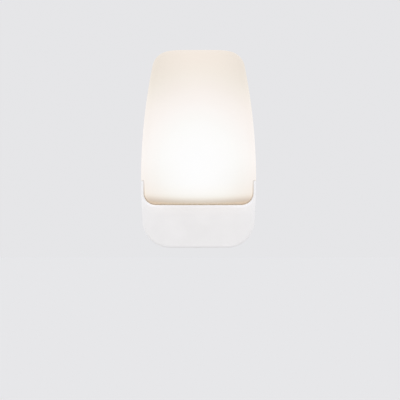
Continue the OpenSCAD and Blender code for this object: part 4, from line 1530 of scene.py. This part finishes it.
def with_tin(tree, shader, bare, colour, roughness, bumps, rise):
    """A part in one colour and with a relief, and bare tinned metal where the mask says."""
    tin = mottled(tree, grain(tree, 0.5, 3), TIN, BRIGHT_TIN)
    feed(tree, shader, Metallic=bare)
    rough = (roughness - 0.05, roughness + 0.08)
    skin(tree, shader, mixed(tree, bare, colour, tin), grain(tree, 0.6, 3), rough, bumps, rise)


def heatproof_moulding():
    """Natural glass-filled moulding with short fibres in its skin."""
    colours = (0.72, 0.68, 0.58), (0.86, 0.83, 0.75), 0.38, 0.62
    fibres = (0.35, 2, (0.2, 1, 1))
    return grained("heatproof moulding", colours, fibres, fibres, (0.42, 0.6), fibres, 0.012, IOR=1.52)


def insulating_film():
    """Amber polyester film, slightly wavy, with fine handling scuffs."""
    colours = (0.82, 0.75, 0.55), (0.9, 0.85, 0.68)
    scuffs = (0.5, 4, (1, 1, 0.1))
    return grained("insulating film", colours, (6, 3), scuffs, (0.18, 0.42), (5, 2), 0.04, IOR=1.6)


def copper_areas(tree, size):
    """1 over copper and 0 along the gaps between its areas, in the front view."""
    flat = vector_of(tree, "MULTIPLY", position(tree), (1, 0, 1))
    near, next_near = (
        add(
            tree, "ShaderNodeTexVoronoi", {"Vector": flat, "Scale": 1 / (size * MM), "Randomness": 0.8},
            feature=feature, distance="CHEBYCHEV",
        ).outputs["Distance"]
        for feature in ("F1", "F2")
    )
    return math_of(tree, "GREATER_THAN", math_of(tree, "SUBTRACT", next_near, near), COPPER_GAP / size)


def green_board():
    """Green resist over copper areas, a tinned ring round each hole and bare laminate at the edges."""
    material, tree, shader = new_finish("green board", IOR=1.5)
    copper = copper_areas(tree, 4.6)
    edge = between(tree, depth_of(tree), -board_high.y + SKIN, BOARD_FACE - SKIN)
    rings = any_of(tree, *(
        round_spot(tree, side * BOARD_POST_X, z, SMALL_POST_R) for side in SIDES for z in BOARD_POST_Z
    ))
    resist = mixed(tree, copper, (0.025, 0.15, 0.07), (0.055, 0.28, 0.13))
    weave = grain(tree, 0.3, 2, (1, 6, 1))
    laminate = mottled(tree, weave, (0.5, 0.46, 0.26), (0.64, 0.6, 0.38))
    bare = all_of(tree, rings, math_of(tree, "SUBTRACT", 1.0, edge))
    with_tin(tree, shader, bare, mixed(tree, edge, resist, laminate), 0.28, copper, 0.03)
    return material


def yellow_case():
    """Yellow box filled with paler resin at its foot."""
    material, tree, shader = new_finish("yellow case", IOR=1.52)
    resin = between(tree, depth_of(tree), BOARD_FACE - FAR, BOARD_FACE + SOLDERED)
    shell = mottled(tree, grain(tree, 4, 3), (0.76, 0.52, 0.05), (0.84, 0.61, 0.08))
    colour = mixed(tree, resin, shell, (0.66, 0.55, 0.3))
    skin(tree, shader, colour, grain(tree, 1, 3), (0.26, 0.4), grain(tree, 0.4, 2), 0.006)
    return material


def can_sleeve():
    """Dark sleeve with a pale stripe on the negative side, and a bare can top."""
    material, tree, shader = new_finish("can sleeve", IOR=1.5)
    low, high = box_mm("smoothing_capacitor")
    middle = (low + high) / 2
    r = (high.x - low.x) / 2
    top = between(tree, depth_of(tree), -low.y - 0.2, -low.y + FAR)
    bare = all_of(tree, top, round_spot(tree, middle.x, middle.z, r - CAN_BARE_IN))
    stripe = between(tree, axis_value(tree, "X"), middle.x + STRIPE_SHARE * r, middle.x + 2 * r)
    sleeve = mixed(tree, stripe, (0.012, 0.017, 0.06), (0.55, 0.56, 0.6))
    with_tin(tree, shader, bare, sleeve, 0.3, grain(tree, 0.9, 2), 0.012)
    return material


def moulded_chip(node):
    """Black epoxy body and tinned legs."""
    material, tree, shader = new_finish(f"{node} moulding", IOR=1.55)
    low, high = box_mm(node)
    middle = (low + high) / 2
    body_half = (high.z - low.z) / 2 - CHIP_LEG
    legs = math_of(tree, "GREATER_THAN", off_axis(tree, "Z", middle.z), (body_half + 0.01) * MM)
    epoxy = mottled(tree, grain(tree, 0.25, 3), (0.018, 0.018, 0.02), (0.035, 0.035, 0.038))
    with_tin(tree, shader, legs, epoxy, 0.42, grain(tree, 0.15, 2), 0.01)
    return material


def dipped_epoxy():
    """Blue dipped coating that runs down to tinned legs."""
    material, tree, shader = new_finish("dipped epoxy", IOR=1.52)
    legs = between(tree, depth_of(tree), BOARD_FACE - 0.1, BOARD_FACE + SOLDERED)
    coat = mottled(tree, grain(tree, 2, 2), (0.03, 0.1, 0.36), (0.05, 0.15, 0.46))
    with_tin(tree, shader, legs, coat, 0.2, grain(tree, 1.6, 2), 0.05)
    return material


TAN = (0.55, 0.42, 0.26)
BROWN = (0.25, 0.09, 0.03)
BLACK = (0.02, 0.02, 0.02)
GOLD = (0.6, 0.42, 0.1)
RESISTOR_BANDS = [
    (0.0, TAN), (0.17, BROWN), (0.27, TAN), (0.36, BLACK), (0.46, TAN), (0.55, BLACK), (0.65, TAN),
    (0.78, GOLD), (0.88, TAN),
]


def banded_lacquer():
    """Tan lacquer with its value's colour bands, and tinned leads."""
    material, tree, shader = new_finish("banded lacquer", IOR=1.5)
    middle = centre_mm("fusible_resistor").z
    height = ranged(tree, axis_value(tree, "Z"), 0, 1, *around(middle * MM, RESISTOR_HALF * MM))
    leads = math_of(tree, "GREATER_THAN", off_axis(tree, "Z", middle), (RESISTOR_HALF + 0.01) * MM)
    lacquer = ramp(tree, height, RESISTOR_BANDS, "CONSTANT")
    with_tin(tree, shader, leads, lacquer, 0.4, grain(tree, 0.8, 2), 0.02)
    return material


def glazed_ceramic():
    """White ceramic chip with a black glazed top and tinned ends."""
    material, tree, shader = new_finish("chip resistor", IOR=1.55)
    middle = centre_mm("chip_resistors").x
    ends = math_of(tree, "GREATER_THAN", off_axis(tree, "X", middle), TINNED_FROM * MM)
    top = between(tree, depth_of(tree), BOARD_FACE + GLAZE_FROM, BOARD_FACE + FAR)
    glaze = mixed(tree, top, (0.75, 0.73, 0.68), (0.02, 0.02, 0.022))
    with_tin(tree, shader, ends, glaze, 0.25, grain(tree, 0.3, 2), 0.01)
    return material


def silicone_rubber():
    """Dull black silicone with fine dust in its skin."""
    colours = (0.022, 0.022, 0.022), (0.07, 0.07, 0.068), 0.45, 0.72
    dust = (0.12, 4)
    return grained("silicone rubber", colours, dust, dust, (0.62, 0.85), (0.3, 3), 0.008, IOR=1.43)


def sensor_coating():
    """Ceramic disc with an orange track folded to and fro between pale electrodes, and tinned legs."""
    material, tree, shader = new_finish("sensor coating", IOR=1.5)
    middle = centre_mm("sensor_shroud")
    low, high = box_mm("light_cell")
    rows = math_of(tree, "PINGPONG", off_axis(tree, "Y", middle.y), TRACK_PITCH * MM)
    track = any_of(
        tree, between(tree, rows, -FAR, TRACK_GAP),
        between(tree, off_axis(tree, "X", middle.x), *TRACK_SIDE),
    )
    disc = between(tree, off_axis(tree, "Y", middle.y), -FAR, TRACK_REACH)
    face = between(tree, axis_value(tree, "Z"), low.z - FAR, low.z + 0.05)
    ceramic = mixed(tree, all_of(tree, face, disc), (0.72, 0.66, 0.52), (0.68, 0.64, 0.55))
    coated = mixed(tree, all_of(tree, face, disc, track), ceramic, (0.62, 0.17, 0.03))
    legs = between(tree, axis_value(tree, "Z"), low.z + CELL_T + 0.02, high.z + FAR)
    with_tin(tree, shader, legs, coated, 0.3, track, 0.02)
    return material


def wire_insulation(name, dark, light):
    """Glossy insulation with faint drawing rings, stripped to tinned strands at the board."""
    material, tree, shader = new_finish(name, IOR=1.52)
    stripped = between(tree, depth_of(tree), -board_high.y - STRIPPED_LEN, -board_high.y + FAR)
    colour = mottled(tree, grain(tree, 1.2, 3), dark, light)
    with_tin(tree, shader, stripped, colour, 0.34, grain(tree, 0.3, 2), 0.012)
    return material


def lamp_row_distance(tree):
    """Distance from the nearest row of light chips, in metres."""
    return math_of(tree, "PINGPONG", off_axis(tree, "Z", LAMP_Z), LAMP_PITCH_Z / 2 * MM)


def lamp_column_distance(tree):
    """Distance from the nearest column of light chips, in metres."""
    beside = math_of(tree, "SUBTRACT", off_axis(tree, "X", 0), LAMP_PITCH_X / 2 * MM)
    return math_of(tree, "ABSOLUTE", beside, 0.0)


def near_lamp(tree, across, up):
    """1 in a rectangle round the middle of each light chip."""
    return all_of(
        tree,
        between(tree, lamp_column_distance(tree), -FAR, across),
        between(tree, lamp_row_distance(tree), -FAR, up),
        between(tree, off_axis(tree, "Z", LAMP_Z), -FAR, 1.25 * LAMP_PITCH_Z),
    )


def white_board():
    """White resist over aluminium, with tinned lands under the light chips and a bare metal edge."""
    material, tree, shader = new_finish("white board", IOR=1.5)
    copper = copper_areas(tree, 6.5)
    edge = between(tree, depth_of(tree), LAMP_BACK + SKIN, -lamp_low.y - RESIST_T)
    lands = near_lamp(tree, *LAND_HALF)
    resist = mixed(tree, copper, (0.78, 0.78, 0.75), (0.86, 0.86, 0.84))
    with_tin(tree, shader, any_of(tree, edge, lands), resist, 0.3, copper, 0.03)
    return material


def phosphor_package():
    """White package with a glowing phosphor dish and tinned ends."""
    material, tree, shader = new_finish("light chip", IOR=1.5, Emission_Strength=1.0)
    face = -box_mm("lamp_chips")[0].y
    front = between(tree, depth_of(tree), face - DISH_DEPTH - 0.01, face + FAR)
    dish = all_of(tree, front, near_lamp(tree, *PHOSPHOR_HALF))
    ends = outside(tree, lamp_column_distance(tree), -FAR, LAMP_HALF[0])
    phosphor = mottled(tree, grain(tree, 0.3, 3), (0.8, 0.56, 0.1), (0.86, 0.64, 0.14))
    colour = mixed(tree, dish, (0.85, 0.84, 0.8), phosphor)
    with_tin(tree, shader, ends, colour, 0.35, grain(tree, 0.2, 2), 0.004)
    feed(tree, shader, Emission_Color=mixed(tree, dish, (0, 0, 0), (0.9, 0.72, 0.42)))
    return material


def dress(finish, *nodes):
    """Gives carried-over nodes their finish."""
    for node in nodes:
        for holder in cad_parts[node].material_slots:
            holder.material = finish


# ---- Floor, light and camera ----

BACKGROUND = (0.790, 0.790, 0.806)
FLOOR_Z = -400
FLOOR_HALF_M = 6
CAMERA_MM = (0.9, -594, 12.04)
LENS_MM = 83.05
SENSOR_MM = 36
FILL = 0.825
LAMP_STRENGTH = 0.6
LAMP_WIDTH_DEG = 40
LAMP_WAY = (0.9, 0.5, -0.22)
FLOOR_GREY = 0.85
FLOOR_LIFT = (0.027, 0.027, 0.044)


def floor():
    """Plain pale floor, far below."""
    bm = bmesh.new()
    bmesh.ops.create_grid(bm, x_segments=1, y_segments=1, size=FLOOR_HALF_M)
    bmesh.ops.translate(bm, vec=(0, 0, FLOOR_Z * MM), verts=bm.verts)
    obj = make_object("floor", bm)
    material, tree, shader = new_finish(
        "pale floor", Base_Color=(FLOOR_GREY, FLOOR_GREY, FLOOR_GREY, 1), Roughness=1.0,
        Specular_IOR_Level=0.0, Emission_Color=(*FLOOR_LIFT, 1),
    )
    seen = add(tree, "ShaderNodeLightPath").outputs["Is Camera Ray"]
    feed(tree, shader, Emission_Strength=seen)
    obj.data.materials.append(material)


def soft_lamps():
    """A large soft lamp on each side of the object, above it and a little in front."""
    for side in SIDES:
        lamp = bpy.data.lights.new("lamp", "SUN")
        lamp.energy = LAMP_STRENGTH
        lamp.angle = math.radians(LAMP_WIDTH_DEG)
        obj = bpy.data.objects.new("lamp", lamp)
        obj.rotation_mode = "QUATERNION"
        across, inwards, up = LAMP_WAY
        obj.rotation_quaternion = Vector((side * across, inwards, up)).to_track_quat("-Z", "Y")
        bpy.context.scene.collection.objects.link(obj)


def surroundings():
    """Even light from all sides; the camera, gloss and glass see the pale background."""
    world = bpy.data.worlds.new("surroundings")
    world.use_nodes = True
    bpy.context.scene.world = world
    tree = world.node_tree
    tree.nodes.clear()
    path = add(tree, "ShaderNodeLightPath").outputs
    seen = math_of(tree, "MAXIMUM", path["Is Camera Ray"], path["Is Glossy Ray"])
    seen = math_of(tree, "MAXIMUM", seen, path["Is Transmission Ray"])
    lit = add(tree, "ShaderNodeBackground", {"Color": (1, 1, 1, 1), "Strength": FILL}).outputs[0]
    shown = add(tree, "ShaderNodeBackground", {"Color": (*BACKGROUND, 1), "Strength": 1.0}).outputs[0]
    surface = add(tree, "ShaderNodeMixShader", {0: seen, 1: lit, 2: shown}).outputs[0]
    add(tree, "ShaderNodeOutputWorld", {"Surface": surface})


def camera():
    """Camera straight in front of the light."""
    data = bpy.data.cameras.new("camera")
    data.lens = LENS_MM
    data.sensor_width = SENSOR_MM
    data.clip_start = 0.01
    obj = bpy.data.objects.new("camera", data)
    obj.location = [value * MM for value in CAMERA_MM]
    obj.rotation_euler = (QUARTER, 0, 0)
    bpy.context.scene.collection.objects.link(obj)
    bpy.context.scene.camera = obj


# ---- The whole scene ----

bpy.context.scene.view_settings.view_transform = "Standard"
back_housing(moulded_plastic("white shell", *SHELL))
base_cover(cover_plastic_painted_glow("white cover", *SHELL))
opal_shade(opal_plastic())
plating = blade_plating()
blade("neutral_blade", "blade_neutral", -BLADE_X, NEUTRAL_HALF, plating)
blade("hot_blade", "blade_hot", BLADE_X, HOT_HALF, plating)
all_screws(zinc_plating())
sensor_window(clear_acrylic())
blade_plate(heatproof_moulding())
dress(insulating_film(), "insulating_sheet")
dress(green_board(), "driver_board")
film_box(yellow_case())
can_capacitor(can_sleeve())
chip("bridge_chip", "bridge_rectifier", 2, 2.5, moulded_chip("bridge_rectifier"))
chip("control_chip", "driver_chip", 4, 1.27, moulded_chip("driver_chip"))
disc_varistor(dipped_epoxy())
wired_resistor(banded_lacquer())
flat_resistors(glazed_ceramic())
light_shroud(silicone_rubber())
light_cell(sensor_coating())
all_leads()
dress(white_board(), "lamp_board")
light_packages(phosphor_package())
dress(
    moulded_plastic("reflector white", (0.88, 0.88, 0.87), (0.92, 0.92, 0.91), 0.3, 0.25, 0.004),
    "reflector",
)
floor()
soft_lamps()
surroundings()
camera()
